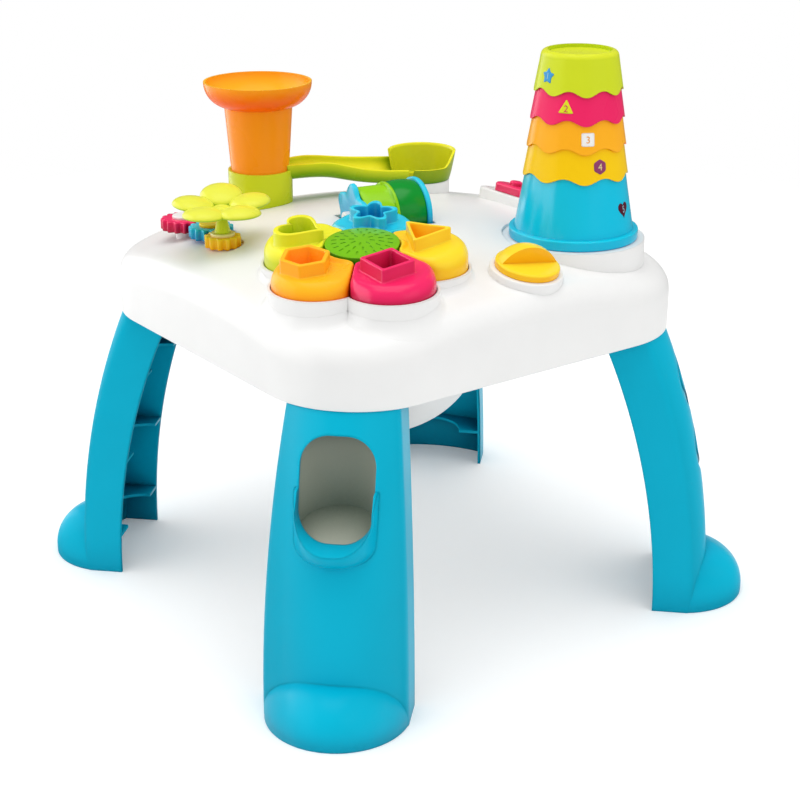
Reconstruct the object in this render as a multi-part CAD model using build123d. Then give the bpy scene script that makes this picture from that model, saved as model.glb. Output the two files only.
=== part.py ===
"""Toddler learning desk: a domed activity top on four arched legs, in millimetres, +Z up.

The origin is on the floor under the middle of the top. The legs stand on the X and Y axes, and
the front leg, which holds the ball outlet, is on -Y.
"""
import os
from math import atan2, cos, degrees, hypot, pi, radians, sin, sqrt, tan

from build123d import *

os.makedirs("parts", exist_ok=True)

# Tabletop
TOP_SIDE = 400.0
TOP_CORNER = 85.0
RIM_Z = 253.0
CROWN_Z = 342.0
CROWN_RADIUS = 800.0
EDGE_ROUND = 22.0
WALL = 3.0

# Clearances
RUN_GAP = 0.05
SLIDE_GAP = 0.4
SEAT_GAP = 0.3
PRESS_GAP = 0.02

# Legs
LEG_ARC = 650.0
LEG_FOOT_REACH = 297.0
LEG_DEPTH = 48.0
LEG_HALF_WIDTH = 59.5
LEG_SIDE_ARC = 2248.0
LEG_EDGE_ROUND = 6.0
LEG_NECK_INSET = 6.0
LEG_NECK = 22.0
LEG_WEB = 3.0
LEG_RIB_LEVELS = (36.0, 112.0, 196.0)
TOE_RADIUS = 60.0
TOE_REACH = 330.0
TOE_HEIGHT = 40.0
TOE_ROUND = 34.0
LEG_SCREW_SPREAD = 22.0
LEG_SCREW_INSET = 27.0
GROOVE_WIDTH = 11.0
GROOVE_DEPTH = 1.4
GROOVE_SWING = 20.0
GROOVE_PITCH = 62.0
GROOVE_LOW_Z = 108.0

# Ball outlet in the front leg
OUTLET_WIDTH = 60.0
OUTLET_LOW_Z = 154.0
OUTLET_HIGH_Z = 235.0
OUTLET_CORNER = 24.0
LIP_SIDE = 3.0
LIP_CHIN = 15.0
LIP_REACH = 18.0
SCOOP_WALL = 2.0
SCOOP_BACK_REACH = 224.0
SCOOP_RIM_Z = 218.0
SCOOP_SLOPE = 14.0

# Pan and belly
PAN_RECESS = 3.0
BELLY_Y = -105.0
BELLY_HALF_X = 92.0
BELLY_HALF_Y = 84.0
BELLY_DEPTH = 75.0
PAN_SCREW_REACH = 175.0
BOSS_RADIUS = 5.0

# Screws
SCREW_RADIUS = 1.8
SCREW_HEAD = 3.6
SCREW_HEAD_HEIGHT = 2.4
SCREW_BITE = 14.0

# Ball chute
CHUTE_INNER = 49.0
CHUTE_WALL = 2.0
CHUTE_SIDE = 16.0
CHUTE_BEHIND = 22.0
CHUTE_START_Z = 280.0
CHUTE_KNEE_Y = -30.0
CHUTE_KNEE_Z = 263.0
CHUTE_END_Y = -214.0
CHUTE_END_Z = 226.0
BRANCH_END_Y = 62.0
BRANCH_STEP = 1.0

# Ball track and funnel
COLLAR_X = -136.0
COLLAR_Y = 80.0
COLLAR_RADIUS = 30.0
COLLAR_TOP_Z = 362.0
COLLAR_LEDGE_Z = 343.0
TRACK_WALL = 2.4
BALL_HOLE = 24.0
BOWL_X = 6.0
BOWL_Y = 156.0
BOWL_RADIUS = 33.0
BOWL_FOOT = 27.0
BOWL_RIM_Z = 368.0
BOWL_LOW_Z = 340.0
TRACK_WIDTH = 50.0
TRACK_SIDE = 14.0
TRACK_START_Z = 367.0
TRACK_END_Z = 353.5
FUNNEL_RIM_RADIUS = 50.0
FUNNEL_RIM_Z = 444.0
FUNNEL_THROAT_Z = 421.0
FUNNEL_THROAT_RADIUS = 31.5
FUNNEL_WALL = 2.2

# Key deck, tilted towards the front, and keys with tops pitched a little more
DECK_Y = -141.0
DECK_Z = 334.5
DECK_TILT = 2.5
DECK_WALL = 2.4
DECK_FLOOR = 2.0
DECK_DEPTH = 26.0
KEY_RING = 50.5
KEY_RADIUS = 36.0
KEY_GAP = 0.7
KEY_TRAVEL = 3.0
KEY_LIFT = 1.5
KEY_POCKET = 6.0
KEY_TOP = 19.5
KEY_PITCH = 5.5
KEY_ROUND = 5.0
KEY_CORNER = 6.0
KEY_RAISE = 11.0
KEY_SHAPE = 21.0
KEY_SHAPE_WALL = 0.80
KEY_STEM = 4.0
KEY_HOLLOW = 16.0
KEY_ROOF = 9.0
LENS_RADIUS = 30.3
LENS_RIM = 23.5
LENS_CROWN = 3.0
BOARD_DROP = 10.4
BOARD_THICK = 1.6
BOARD_RADIUS = 58.0
DOME_RADIUS = 6.0
DOME_HEIGHT = 4.0
SPEAKER_RADIUS = 22.0
SPEAKER_DEPTH = 12.0

# Gears
GEAR_MODULE = 2.5
GEAR_Z = 327.5
GEAR_THICK = 10.0
BLUE_TEETH = 15
YELLOW_TEETH = 12
PINK_TEETH = 16
BLUE_X = -153.5
BLUE_Y = -37.0
YELLOW_BEARING = -58.0
PINK_BEARING = 143.0
AXLE_RADIUS = 3.0
AXLE_BITE = 5.0
GEAR_POST = 8.0
GEAR_FLOAT = 0.6
GEAR_MARGIN = 1.5
CAP_RADIUS = 10.5
CAP_THICK = 2.5
PEG_RADIUS = 4.0
PEG_HEIGHT = 12.0
STEM_RADIUS = 3.5
STEM_HEIGHT = 16.0
PETAL_RING = 26.0
PETAL_RADIUS = 14.5
PETAL_THICK = 3.0
PETAL_LIFT = 10.0

# Roller
ROLLER_X = -4.0
ROLLER_Y = -4.0
ROLLER_Z = 345.0
ROLLER_BEARING = 35.0
ROLLER_RADIUS = 31.0
ROLLER_SPAN = 56.0
ROLLER_DISC = 5.0
ROLLER_BARS = 8
ROLLER_GAP = 1.5
ROLLER_EAR = 4.5

# Selector knob
KNOB_X = 129.0
KNOB_Y = -102.0
KNOB_RADIUS = 27.0
KNOB_BASE = 6.0
KNOB_DOME = 14.0
KNOB_SHAFT = 5.0
KNOB_SHAFT_DROP = 10.0
KNOB_BOSS_HEIGHT = 6.0
KNOB_RIDGE_BEARING = 30.0

# Slider and its rail
RAIL_REACH = 140.0
RAIL_SHIFT = -20.0
RAIL_LENGTH = 88.0
RAIL_WIDTH = 24.0
RAIL_HEIGHT = 9.0
RAIL_SLOT = 8.0
SLIDER_LENGTH = 48.0
SLIDER_WIDTH = 18.0
SLIDER_HEIGHT = 8.0
SLIDER_TONGUE = 7.0
SLIDER_KNOB = 6.0

# Stacking cups, the bottom one first
CUP_X = 162.0
CUP_Y = -3.0
CUP_SEAT_Z = 333.0
CUP_LIP_RADIUS = 56.0
CUP_LIP_HEIGHT = 9.0
CUP_FOOT_RADIUS = 53.0
CUP_TAPER = 0.175
CUP_WALL = 1.4
CUP_GAP = 0.4
CUP_VISIBLE = (57.0, 25.0, 23.5, 23.5, 32.0)
CUP_OVERLAP = 16.0
CUP_SHOULDER = 5.0
CUP_WAVES = 8
CUP_WAVE = 2.6
CUP_LEDGE = 8.0
CUP_RECESS = 3.0
SEAT_MARGIN = 6.0

# Battery bay in the pan
BAY_X = 92.0
BAY_Y = -10.0
CELL_RADIUS = 7.1
CELL_LENGTH = 50.0
CELL_PITCH = 15.0
CELL_COUNT = 3
BAY_WALL = 3.0
DOOR_TAB = 14.0

# Places worked out from the sizes above
CORNER_CENTRE = (TOP_SIDE / 2 - TOP_CORNER) * sqrt(2)
LEG_CENTRE = LEG_FOOT_REACH - LEG_ARC
PAN_Z = RIM_Z + PAN_RECESS
PAN_TOP_Z = PAN_Z + WALL
KEY_NAMES = ("triangle", "star", "heart", "hexagon", "square")
KEY_ANGLES = [18.0 + 72.0 * i for i in range(len(KEY_NAMES))]
KEY_BASE = KEY_TRAVEL + KEY_LIFT - KEY_POCKET
DECK_UNDER = -KEY_POCKET - DECK_FLOOR
BOARD_W = DECK_UNDER - BOARD_DROP
DECK = Plane(
    origin=(0, DECK_Y, DECK_Z),
    x_dir=(1, 0, 0),
    z_dir=(0, -sin(radians(DECK_TILT)), cos(radians(DECK_TILT))),
)


def crown_z(x, y):
    """Height of the crown's outer skin over a point of the plan."""
    return CROWN_Z - CROWN_RADIUS + sqrt(CROWN_RADIUS**2 - x * x - y * y)


def crown_plane(x, y, along):
    """Plane lying on the crown at a point, with its X axis near the given direction."""
    z = crown_z(x, y)
    normal = Vector(x, y, z - CROWN_Z + CROWN_RADIUS).normalized()
    x_dir = (along - normal * along.dot(normal)).normalized()
    return Plane(origin=(x, y, z), x_dir=x_dir, z_dir=normal)


def crown_ball(offset):
    """Ball of the crown's curvature plus an offset, with its seam turned underneath."""
    return Pos(0, 0, CROWN_Z - CROWN_RADIUS) * Rot(0, 90, 0) * Sphere(CROWN_RADIUS + offset)


def polar(radius, angle):
    """Point of the plan at a radius and an angle in degrees."""
    return (radius * cos(radians(angle)), radius * sin(radians(angle)))


def rod(x, y, low, high, radius):
    """Upright cylinder between two heights."""
    return Pos(x, y, (low + high) / 2) * Cylinder(radius, high - low)


def ring(x, y, low, high, outer, inner):
    """Upright tube between two heights."""
    return rod(x, y, low, high, outer) - rod(x, y, low - 1, high + 1, inner)


def screw(length):
    """Cross-head screw pointing up, with the underside of its head at zero."""
    head = Pos(0, 0, -SCREW_HEAD_HEIGHT / 2) * Cylinder(SCREW_HEAD, SCREW_HEAD_HEIGHT)
    head = fillet(head.edges().group_by(Axis.Z)[0], SCREW_HEAD_HEIGHT / 3)
    slot = Box(SCREW_HEAD, SCREW_RADIUS / 2, SCREW_HEAD_HEIGHT)
    cross = Pos(0, 0, -SCREW_HEAD_HEIGHT) * (slot + Rot(0, 0, 90) * slot)
    return head - cross + Pos(0, 0, length / 2) * Cylinder(SCREW_RADIUS, length)


def group(shapes):
    """Separate solids kept together under one name."""
    return Compound(children=[solid for shape in shapes for solid in shape.solids()])


# Legs, drawn standing on +X and turned to their corners


def leg_reach(z, inset=0.0):
    """Distance of the leg's outer face from the middle at a height."""
    return LEG_CENTRE + sqrt((LEG_ARC - inset) ** 2 - z * z)


def leg_half(z, inset=0.0):
    """Half width of the leg at a height."""
    return LEG_HALF_WIDTH - LEG_SIDE_ARC + sqrt((LEG_SIDE_ARC - inset) ** 2 - z * z)


def leg_round(inset, low, high):
    """Solid inside the leg's outer face: its arc turned about the tabletop's corner centre."""
    arc = ThreePointArc(*[(leg_reach(z, inset) - CORNER_CENTRE, z) for z in (low, (low + high) / 2, high)])
    rest = Polyline(arc @ 1, (0, high), (0, low), arc @ 0)
    turned = revolve(Plane.XZ * make_face(arc + rest), Axis.Z)
    return Pos(CORNER_CENTRE, 0, 0) * Rot(0, 0, 180) * turned


def leg_front(inset, low, high):
    """Solid between the leg's two side faces, which bow in towards the top."""
    levels = (low, (low + high) / 2, high)
    right = ThreePointArc(*[(leg_half(z, inset), z) for z in levels])
    left = ThreePointArc(*[(-leg_half(z, inset), z) for z in reversed(levels)])
    face = make_face(right + Line(right @ 1, left @ 0) + left + Line(left @ 1, right @ 0))
    return extrude(Plane.YZ * face, TOE_REACH * 2)


def leg_outside(low, high):
    """Solid outside the leg's inner edge, which runs parallel to its outer face."""
    inner = ThreePointArc(*[(leg_reach(z, LEG_DEPTH), z) for z in (low, (low + high) / 2, high)])
    rest = Polyline(inner @ 1, (TOE_REACH * 2, high), (TOE_REACH * 2, low), inner @ 0)
    return extrude(Plane.XZ * make_face(inner + rest), LEG_HALF_WIDTH * 2, both=True)


def leg_channel(inset, low, high):
    """Outer face and two sides of the leg as one wall, open towards the middle of the desk."""
    block = leg_round(inset, low, high) & leg_front(inset, low, high)
    walls = block - leg_round(inset + WALL, low - 1, high + 1)
    walls += block - leg_front(inset + WALL, low - 1, high + 1)
    return walls & leg_outside(low, high)


def leg_plate(inset, low, high):
    """Flat plate across the leg between two heights."""
    return leg_round(inset, low, high) & leg_front(inset, low, high) & leg_outside(low, high)


def toe(inset):
    """Round cap of the leg's toe, with its seam turned inwards."""
    height = TOE_HEIGHT - inset
    cap = Pos(0, 0, height / 2) * Cylinder(TOE_RADIUS - inset, height)
    cap = fillet(cap.edges().group_by(Axis.Z)[-1], TOE_ROUND - inset)
    return Pos(TOE_REACH - TOE_RADIUS, 0, 0) * Rot(0, 0, 180) * cap


def leg_screw_places():
    """Plan points of the two screws of the leg on +X."""
    reach = leg_reach(RIM_Z) - LEG_SCREW_INSET
    return [(reach, -LEG_SCREW_SPREAD), (reach, LEG_SCREW_SPREAD)]


def leg_edges(shell):
    """The two long outer edges of the leg."""
    middle = RIM_Z / 2
    long = [edge for edge in shell.edges() if edge.length > RIM_Z * 0.8]
    wide = [edge for edge in long if abs(edge.center().Y) > leg_half(middle) - WALL / 2]
    return [edge for edge in wide if edge.center().X > leg_reach(middle) - LEG_DEPTH / 2]


def leg_body():
    """Arched channel with its toe, shoulder, neck and screw web."""
    neck_top = RIM_Z + LEG_NECK
    shell = leg_channel(0, 0, RIM_Z)
    shell = fillet(leg_edges(shell), LEG_EDGE_ROUND)
    foot = toe(0) & leg_front(-WALL / 2, 0, TOE_RADIUS)
    foot -= toe(WALL) & leg_front(WALL / 2, -1, TOE_RADIUS)
    shell += foot - leg_round(WALL / 2, -1, TOE_RADIUS + 1)
    shell += leg_channel(LEG_NECK_INSET, RIM_Z - WALL, neck_top)
    inside = LEG_NECK_INSET + WALL
    shoulder = leg_plate(WALL / 2, RIM_Z - WALL, RIM_Z)
    shell += shoulder - (leg_round(inside, 0, RIM_Z + 1) & leg_front(inside, 0, RIM_Z + 1))
    shell += leg_plate(LEG_NECK_INSET + WALL / 2, neck_top - LEG_WEB, neck_top)
    for x, y in leg_screw_places():
        shell -= rod(x, y, RIM_Z, neck_top + 1, SCREW_RADIUS + SEAT_GAP)
    return shell


def ribbed(leg, levels):
    """Leg with flat cross ribs, each hollowed along its inner edge."""
    for level in levels:
        scoop = Pos(leg_reach(level, LEG_DEPTH), 0, level) * Cylinder(LEG_HALF_WIDTH * 0.6, WALL * 4)
        leg += leg_plate(WALL / 2, level, level + WALL) - scoop
    return leg


def groove_band():
    """Winding finger groove for the outer face of the right leg."""
    turns = int((RIM_Z - GROOVE_LOW_Z) / GROOVE_PITCH * 2)
    points = [
        (GROOVE_SWING * (-1) ** i, GROOVE_LOW_Z + GROOVE_PITCH / 2 * i) for i in range(turns + 1)
    ]
    bends = [GROOVE_PITCH * 0.22] * (len(points) - 2)
    path = FilletPolyline(*points, radius=bends)
    band = Plane.YZ * trace(path, GROOVE_WIDTH)
    return extrude(band, TOE_REACH) - leg_round(GROOVE_DEPTH, 0, RIM_Z)


def outlet_outline(side, chin):
    """Upright rounded slot of the ball outlet, grown at the sides and below."""
    width = OUTLET_WIDTH + 2 * side
    low = OUTLET_LOW_Z - chin
    high = OUTLET_HIGH_Z + side
    slot = Pos(0, (low + high) / 2) * RectangleRounded(width, high - low, OUTLET_CORNER + side)
    return Plane.YZ * slot


def front_leg(leg):
    """Front leg with the outlet and its protruding lip, which is round in plan and underneath."""
    low = OUTLET_LOW_Z - LIP_CHIN
    top = (OUTLET_LOW_Z + OUTLET_HIGH_Z) / 2
    radius = OUTLET_WIDTH / 2 + LIP_SIDE
    front = leg_reach(low) + LIP_REACH
    behind = leg_reach(top, LEG_DEPTH / 2)
    lip = Pos(0, 0, (top - low) / 2) * Cylinder(radius, top - low)
    lip = fillet(lip.edges().group_by(Axis.Z)[0], LIP_CHIN)
    lip += Pos(-radius, 0, (top - low) / 2) * Box(2 * radius, 2 * radius, top - low)
    slope = Polyline((behind, top), (leg_reach(top) + LIP_SIDE, top), (front, OUTLET_LOW_Z),
                     (front, low), (behind, low), close=True)
    lip = Pos(front - radius, 0, low) * lip & extrude(Plane.XZ * make_face(slope), LEG_HALF_WIDTH, both=True)
    leg = leg + (lip - leg_round(WALL, 0, RIM_Z))
    return leg - extrude(outlet_outline(0, 0), TOE_REACH)


def outlet_scoop():
    """White tub behind the outlet, open to the front and at the top."""
    half = OUTLET_WIDTH / 2 + LIP_SIDE + SCOOP_WALL
    reach = SCOOP_BACK_REACH + half
    low = OUTLET_LOW_Z - SCOOP_WALL - 1

    def tub(inset, bottom, top):
        plan = Pos(reach, 0) * Circle(half - inset)
        plan += Pos(reach + TOE_REACH / 2, 0) * Rectangle(TOE_REACH, 2 * (half - inset))
        return extrude(Pos(0, 0, bottom) * plan, top - bottom)

    body = tub(0, low, SCOOP_RIM_Z) & leg_round(WALL + SEAT_GAP, 0, RIM_Z)
    inside = tub(SCOOP_WALL, low + SCOOP_WALL, SCOOP_RIM_Z + 1)
    slope = Polyline((SCOOP_BACK_REACH, low), (SCOOP_BACK_REACH, low + SCOOP_SLOPE),
                     (leg_reach(low), low + SCOOP_WALL), (leg_reach(low), low), close=True)
    ramp = extrude(Plane.XZ * make_face(slope), half * 2, both=True)
    return body - inside + (body & ramp)


def to_corner(shape, angle):
    """Turn a piece drawn on +X to its corner."""
    return Rot(0, 0, angle) * shape


# Tabletop


def top_block(inset, low):
    """Solid of the domed rounded square, standing on its corner, drawn in by an inset."""
    side = TOP_SIDE - 2 * inset
    plan = Rot(0, 0, 45) * RectangleRounded(side, side, TOP_CORNER - inset)
    block = extrude(Pos(0, 0, low) * plan, CROWN_Z - low + 1) & crown_ball(-inset)
    crown = block.faces().sort_by(Axis.Z)[-1]
    return fillet(crown.edges(), EDGE_ROUND - inset)


def lobes(radius):
    """Five-lobed outline of the key deck."""
    outline = Circle(KEY_RING)
    for angle in KEY_ANGLES:
        outline += Pos(*polar(KEY_RING, angle)) * Circle(radius)
    return outline


def deck_slab(outline, low, high):
    """Outline drawn on the tilted deck, between two heights over it."""
    return DECK * (Pos(0, 0, low) * extrude(outline, high - low))


def board_posts():
    """Plan points on the deck of the posts that hold the circuit board."""
    return [polar(KEY_RING * 0.98, angle + 36) for angle in KEY_ANGLES]


KNOB = crown_plane(KNOB_X, KNOB_Y, Vector(1, 0, 0))
RAIL_DIR = Vector(1, -1, 0).normalized()
RAIL_OUT = Vector(1, 1, 0).normalized()
RAIL_SPOT = RAIL_OUT * RAIL_REACH
RAIL = Pos(*(RAIL_DIR * RAIL_SHIFT)) * crown_plane(RAIL_SPOT.X, RAIL_SPOT.Y, RAIL_DIR)
ROLLER = Plane(
    origin=(ROLLER_X, ROLLER_Y, ROLLER_Z),
    x_dir=(0, 0, 1),
    z_dir=(cos(radians(ROLLER_BEARING)), sin(radians(ROLLER_BEARING)), 0),
)
ROLLER_HALF = ROLLER_SPAN / 2 + ROLLER_DISC


def gear_radius(teeth):
    """Pitch radius of a gear."""
    return GEAR_MODULE * teeth / 2


def gear_tooth():
    """Radius of a gear's rounded tooth."""
    return pi * GEAR_MODULE * 0.21


def gear_wells():
    """Plan point and radius of the shallow well round each gear."""
    teeth = {"yellow": YELLOW_TEETH, "blue": BLUE_TEETH, "pink": PINK_TEETH}
    places = gear_places()
    return [(*places[name], gear_radius(teeth[name]) + gear_tooth() + GEAR_MARGIN) for name in teeth]


def gear_places():
    """Plan points of the yellow, blue and pink gears."""
    near = polar(gear_radius(BLUE_TEETH) + gear_radius(YELLOW_TEETH), YELLOW_BEARING)
    far = polar(gear_radius(BLUE_TEETH) + gear_radius(PINK_TEETH), PINK_BEARING)
    return {
        "yellow": (BLUE_X + near[0], BLUE_Y + near[1]),
        "blue": (BLUE_X, BLUE_Y),
        "pink": (BLUE_X + far[0], BLUE_Y + far[1]),
    }


def pan_screw_places():
    """Plan points of the screws that hold the pan."""
    return [polar(PAN_SCREW_REACH, 45 + 90 * i) for i in range(4)]


def tabletop():
    """White moulded shell with its seats, posts, rail and inner bosses, open for the key deck."""
    seat_radius = CUP_LIP_RADIUS + SEAT_MARGIN
    boss_radius = KNOB_RADIUS + 4
    outer = top_block(0, RIM_Z)
    outer = fillet(outer.edges().group_by(Axis.Z)[0], WALL / 3)
    outer += rod(CUP_X, CUP_Y, RIM_Z + EDGE_ROUND, CUP_SEAT_Z, seat_radius)
    outer += rod(BOWL_X, BOWL_Y, RIM_Z + EDGE_ROUND, BOWL_LOW_Z, BOWL_FOOT)
    boss = Pos(0, 0, -KNOB_BOSS_HEIGHT / 2) * Cylinder(boss_radius, 3 * KNOB_BOSS_HEIGHT)
    outer += KNOB * fillet(boss.edges().group_by(Axis.Z)[-1], WALL / 2)
    for x, y in gear_places().values():
        outer += rod(x, y, RIM_Z + EDGE_ROUND, GEAR_Z, GEAR_POST)
    rail_body = extrude(SlotOverall(RAIL_LENGTH, RAIL_WIDTH), RAIL_HEIGHT * 2)
    rail_body = fillet(rail_body.edges().group_by(Axis.Z)[-1], WALL / 2)
    outer += RAIL * (Pos(0, 0, -RAIL_HEIGHT) * rail_body)
    shell = outer - top_block(WALL, RIM_Z - 1)
    shell -= rod(CUP_X, CUP_Y, RIM_Z + EDGE_ROUND * 2, CUP_SEAT_Z - WALL, seat_radius - WALL)
    shell += rod(CUP_X, CUP_Y, CUP_SEAT_Z - WALL, CUP_SEAT_Z, seat_radius)
    shell -= rod(CUP_X, CUP_Y, CUP_SEAT_Z, CROWN_Z, seat_radius)
    shell = shell + tabletop_bosses()
    return shell - tabletop_cuts()


def tabletop_bosses():
    """Screw bosses, gear well floors and roller bearings under the crown."""
    bosses = []
    inside = top_block(WALL / 2, RIM_Z)
    for x, y in pan_screw_places():
        bosses.append(rod(x, y, PAN_TOP_Z, CROWN_Z, BOSS_RADIUS) & inside)
    for corner in range(4):
        for x, y in leg_screw_places():
            post = to_corner(rod(x, y, RIM_Z + LEG_NECK, CROWN_Z, BOSS_RADIUS), 90 * corner)
            bosses.append(post & inside)
    for x, y, radius in gear_wells():
        bosses.append(rod(x, y, GEAR_Z - GEAR_FLOAT - WALL, CROWN_Z, radius + WALL) & inside)
        bosses.append(rod(x, y, GEAR_Z - AXLE_BITE - WALL, GEAR_Z, GEAR_POST))
    for side in (-1, 1):
        place = side * (ROLLER_HALF + ROLLER_GAP + ROLLER_EAR / 2)
        ear = Cylinder(AXLE_RADIUS * 2.2, ROLLER_EAR)
        ear += Pos(-AXLE_RADIUS * 3, 0, 0) * Box(AXLE_RADIUS * 6, AXLE_RADIUS * 4.4, ROLLER_EAR)
        bosses.append(ROLLER * (Pos(0, 0, place) * ear))
    return bosses


def tabletop_cuts():
    """Holes, wells, bores and slots of the tabletop."""
    cuts = [deck_slab(lobes(deck_lobe() + SEAT_GAP), -DECK_DEPTH - SEAT_GAP, DECK_DEPTH)]
    cuts.append(KNOB * Cylinder(KNOB_SHAFT + RUN_GAP, 12 * KNOB_BOSS_HEIGHT))
    slot_length = 2 * (ROLLER_HALF + ROLLER_GAP)
    slot = Box(4 * ROLLER_RADIUS, 2 * (ROLLER_RADIUS + ROLLER_GAP), slot_length)
    cuts.append(ROLLER * slot)
    cuts.append(ROLLER * Cylinder(AXLE_RADIUS + RUN_GAP, slot_length + 4 * ROLLER_EAR))
    groove = extrude(SlotOverall(RAIL_LENGTH - 8, RAIL_SLOT), RAIL_HEIGHT)
    cuts.append(RAIL * (Pos(0, 0, RAIL_HEIGHT - SLIDER_TONGUE) * groove))
    for x, y, radius in gear_wells():
        cuts.append(ring(x, y, GEAR_Z - GEAR_FLOAT, CROWN_Z, radius, GEAR_POST))
        cuts.append(rod(x, y, GEAR_Z, CROWN_Z, GEAR_POST + 1))
        cuts.append(rod(x, y, GEAR_Z - AXLE_BITE, GEAR_Z + 1, AXLE_RADIUS + PRESS_GAP))
    for x, y in ((COLLAR_X, COLLAR_Y), (BOWL_X, BOWL_Y)):
        cuts.append(rod(x, y, RIM_Z + EDGE_ROUND, CROWN_Z, BALL_HOLE))
    for x, y in pan_screw_places():
        cuts.append(rod(x, y, RIM_Z, PAN_TOP_Z + SCREW_BITE, SCREW_RADIUS + PRESS_GAP))
    for corner in range(4):
        for x, y in leg_screw_places():
            top = RIM_Z + LEG_NECK
            hole = rod(x, y, top - 1, top + SCREW_BITE, SCREW_RADIUS + PRESS_GAP)
            cuts.append(to_corner(hole, 90 * corner))
    return cuts


def deck_lobe():
    """Radius of the deck's outer lobes."""
    return KEY_RADIUS + KEY_GAP + DECK_WALL


def key_deck():
    """White five-lobed tray let into the crown, with the posts of the circuit board."""
    inner = lobes(deck_lobe() - DECK_WALL)
    deck = deck_slab(lobes(deck_lobe()), -DECK_DEPTH, 0)
    deck -= deck_slab(inner, -KEY_POCKET, KEY_POCKET)
    deck -= deck_slab(inner, -DECK_DEPTH * 2, DECK_UNDER)
    for x, y in board_posts():
        post = Circle(WALL) - Circle(SCREW_RADIUS / 2 + PRESS_GAP)
        deck += deck_slab(Pos(x, y) * post, BOARD_W, DECK_UNDER)
    for angle in KEY_ANGLES:
        hole = Pos(*polar(KEY_RING, angle)) * Circle(KEY_STEM + SLIDE_GAP)
        deck -= deck_slab(hole, DECK_UNDER - 1, 1)
    return deck - deck_slab(Circle(SPEAKER_RADIUS * 0.5), DECK_UNDER - 1, 0)


# Pan, belly and battery bay


def belly(inset):
    """Deep bowl under the pan: half an ellipse turned and stretched to an oval plan."""
    deep = BELLY_DEPTH - inset
    arc = EllipticalCenterArc((0, 0), BELLY_HALF_X - inset, deep, start_angle=270, arc_size=90)
    face = make_face(arc + Polyline(arc @ 1, (0, 0), arc @ 0))
    bowl = revolve(Plane.XZ * face, Axis.Z)
    stretch = (BELLY_HALF_Y - inset) / (BELLY_HALF_X - inset)
    return Pos(0, BELLY_Y, PAN_TOP_Z) * scale(bowl, by=(1, stretch, 1))


def bay_size():
    """Inside length along X and Y of the battery bay."""
    return (CELL_COUNT * CELL_PITCH + 2, CELL_LENGTH + 2)


def base_pan():
    """Pan closing the underside, open over the belly, with the battery bay and notches for the leg necks."""
    side = TOP_SIDE - 2 * (WALL + SEAT_GAP)
    plan = Rot(0, 0, 45) * RectangleRounded(side, side, TOP_CORNER - WALL - SEAT_GAP)
    pan = extrude(Pos(0, 0, PAN_Z) * plan, WALL) - belly(WALL)
    bay_x, bay_y = bay_size()
    middle_y = BAY_Y + DOOR_TAB / 2
    roof = PAN_TOP_Z + 2 * CELL_RADIUS + 1
    pan += Pos(BAY_X, middle_y, (PAN_Z + roof + BAY_WALL) / 2) * Box(
        bay_x + 2 * BAY_WALL, bay_y + 2 * BAY_WALL + DOOR_TAB, roof + BAY_WALL - PAN_Z
    )
    pan -= Pos(BAY_X, BAY_Y, (PAN_Z + roof) / 2) * Box(bay_x, bay_y, roof - PAN_Z)
    pan -= Pos(BAY_X, middle_y, PAN_Z + WALL / 2) * Box(*door_size(), WALL)
    notch_low = leg_reach(RIM_Z + LEG_NECK, LEG_DEPTH) - 2
    notch = Pos(notch_low + TOE_REACH / 2, 0, PAN_Z) * Box(
        TOE_REACH, 2 * (leg_half(RIM_Z) - LEG_NECK_INSET + 2), 4 * WALL
    )
    for corner in range(4):
        pan -= to_corner(notch, 90 * corner)
    for x, y in pan_screw_places():
        pan -= rod(x, y, PAN_Z - 1, PAN_TOP_Z + 1, SCREW_RADIUS + SEAT_GAP)
    x, y = door_screw_place()
    pan -= rod(x, y, PAN_Z, PAN_TOP_Z + SCREW_BITE * 0.8, SCREW_RADIUS + PRESS_GAP)
    return pan - belly_mouth()


def belly_mouth():
    """Space for the chute through the front of the belly."""
    width = CHUTE_INNER + 2 * CHUTE_WALL + 2
    reach = BELLY_Y - BELLY_HALF_Y
    return Pos(BOWL_X, reach, PAN_Z) * Box(width, 0.4 * BELLY_HALF_Y, 4 * (PAN_TOP_Z - CHUTE_END_Z))


def belly_cover():
    """Bowl hanging under the pan, round the lower end of the chute."""
    pan_level = Pos(0, BELLY_Y, PAN_Z + BELLY_DEPTH) * Box(4 * BELLY_HALF_X, 4 * BELLY_HALF_Y, 2 * BELLY_DEPTH)
    return belly(0) - belly(WALL) - pan_level - belly_mouth()


def door_size():
    """Length along X and Y of the recess for the battery door."""
    bay_x, bay_y = bay_size()
    return (bay_x + BAY_WALL, bay_y + BAY_WALL + DOOR_TAB)


def door_screw_place():
    """Plan point of the battery door's screw."""
    return (BAY_X, BAY_Y + bay_size()[1] / 2 + (BAY_WALL + DOOR_TAB) / 2)


def battery_door():
    """Flat door in the pan under the cells."""
    door_x, door_y = door_size()
    door = Pos(BAY_X, BAY_Y + DOOR_TAB / 2, PAN_Z + WALL / 2) * Box(
        door_x - 2 * SEAT_GAP, door_y - 2 * SEAT_GAP, WALL
    )
    x, y = door_screw_place()
    return door - rod(x, y, PAN_Z - 1, PAN_TOP_Z + 1, SCREW_RADIUS + SEAT_GAP)


def batteries():
    """Row of cells lying on the door."""
    cells = []
    for i in range(CELL_COUNT):
        x = BAY_X + (i - (CELL_COUNT - 1) / 2) * CELL_PITCH
        cell = Cylinder(CELL_RADIUS, CELL_LENGTH - 2) + Pos(0, 0, CELL_LENGTH / 2) * Cylinder(2.7, 2)
        cells.append(Pos(x, BAY_Y, PAN_TOP_Z + CELL_RADIUS + SEAT_GAP) * Rot(90, 0, 0) * cell)
    return group(cells)


# Ball run


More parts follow.
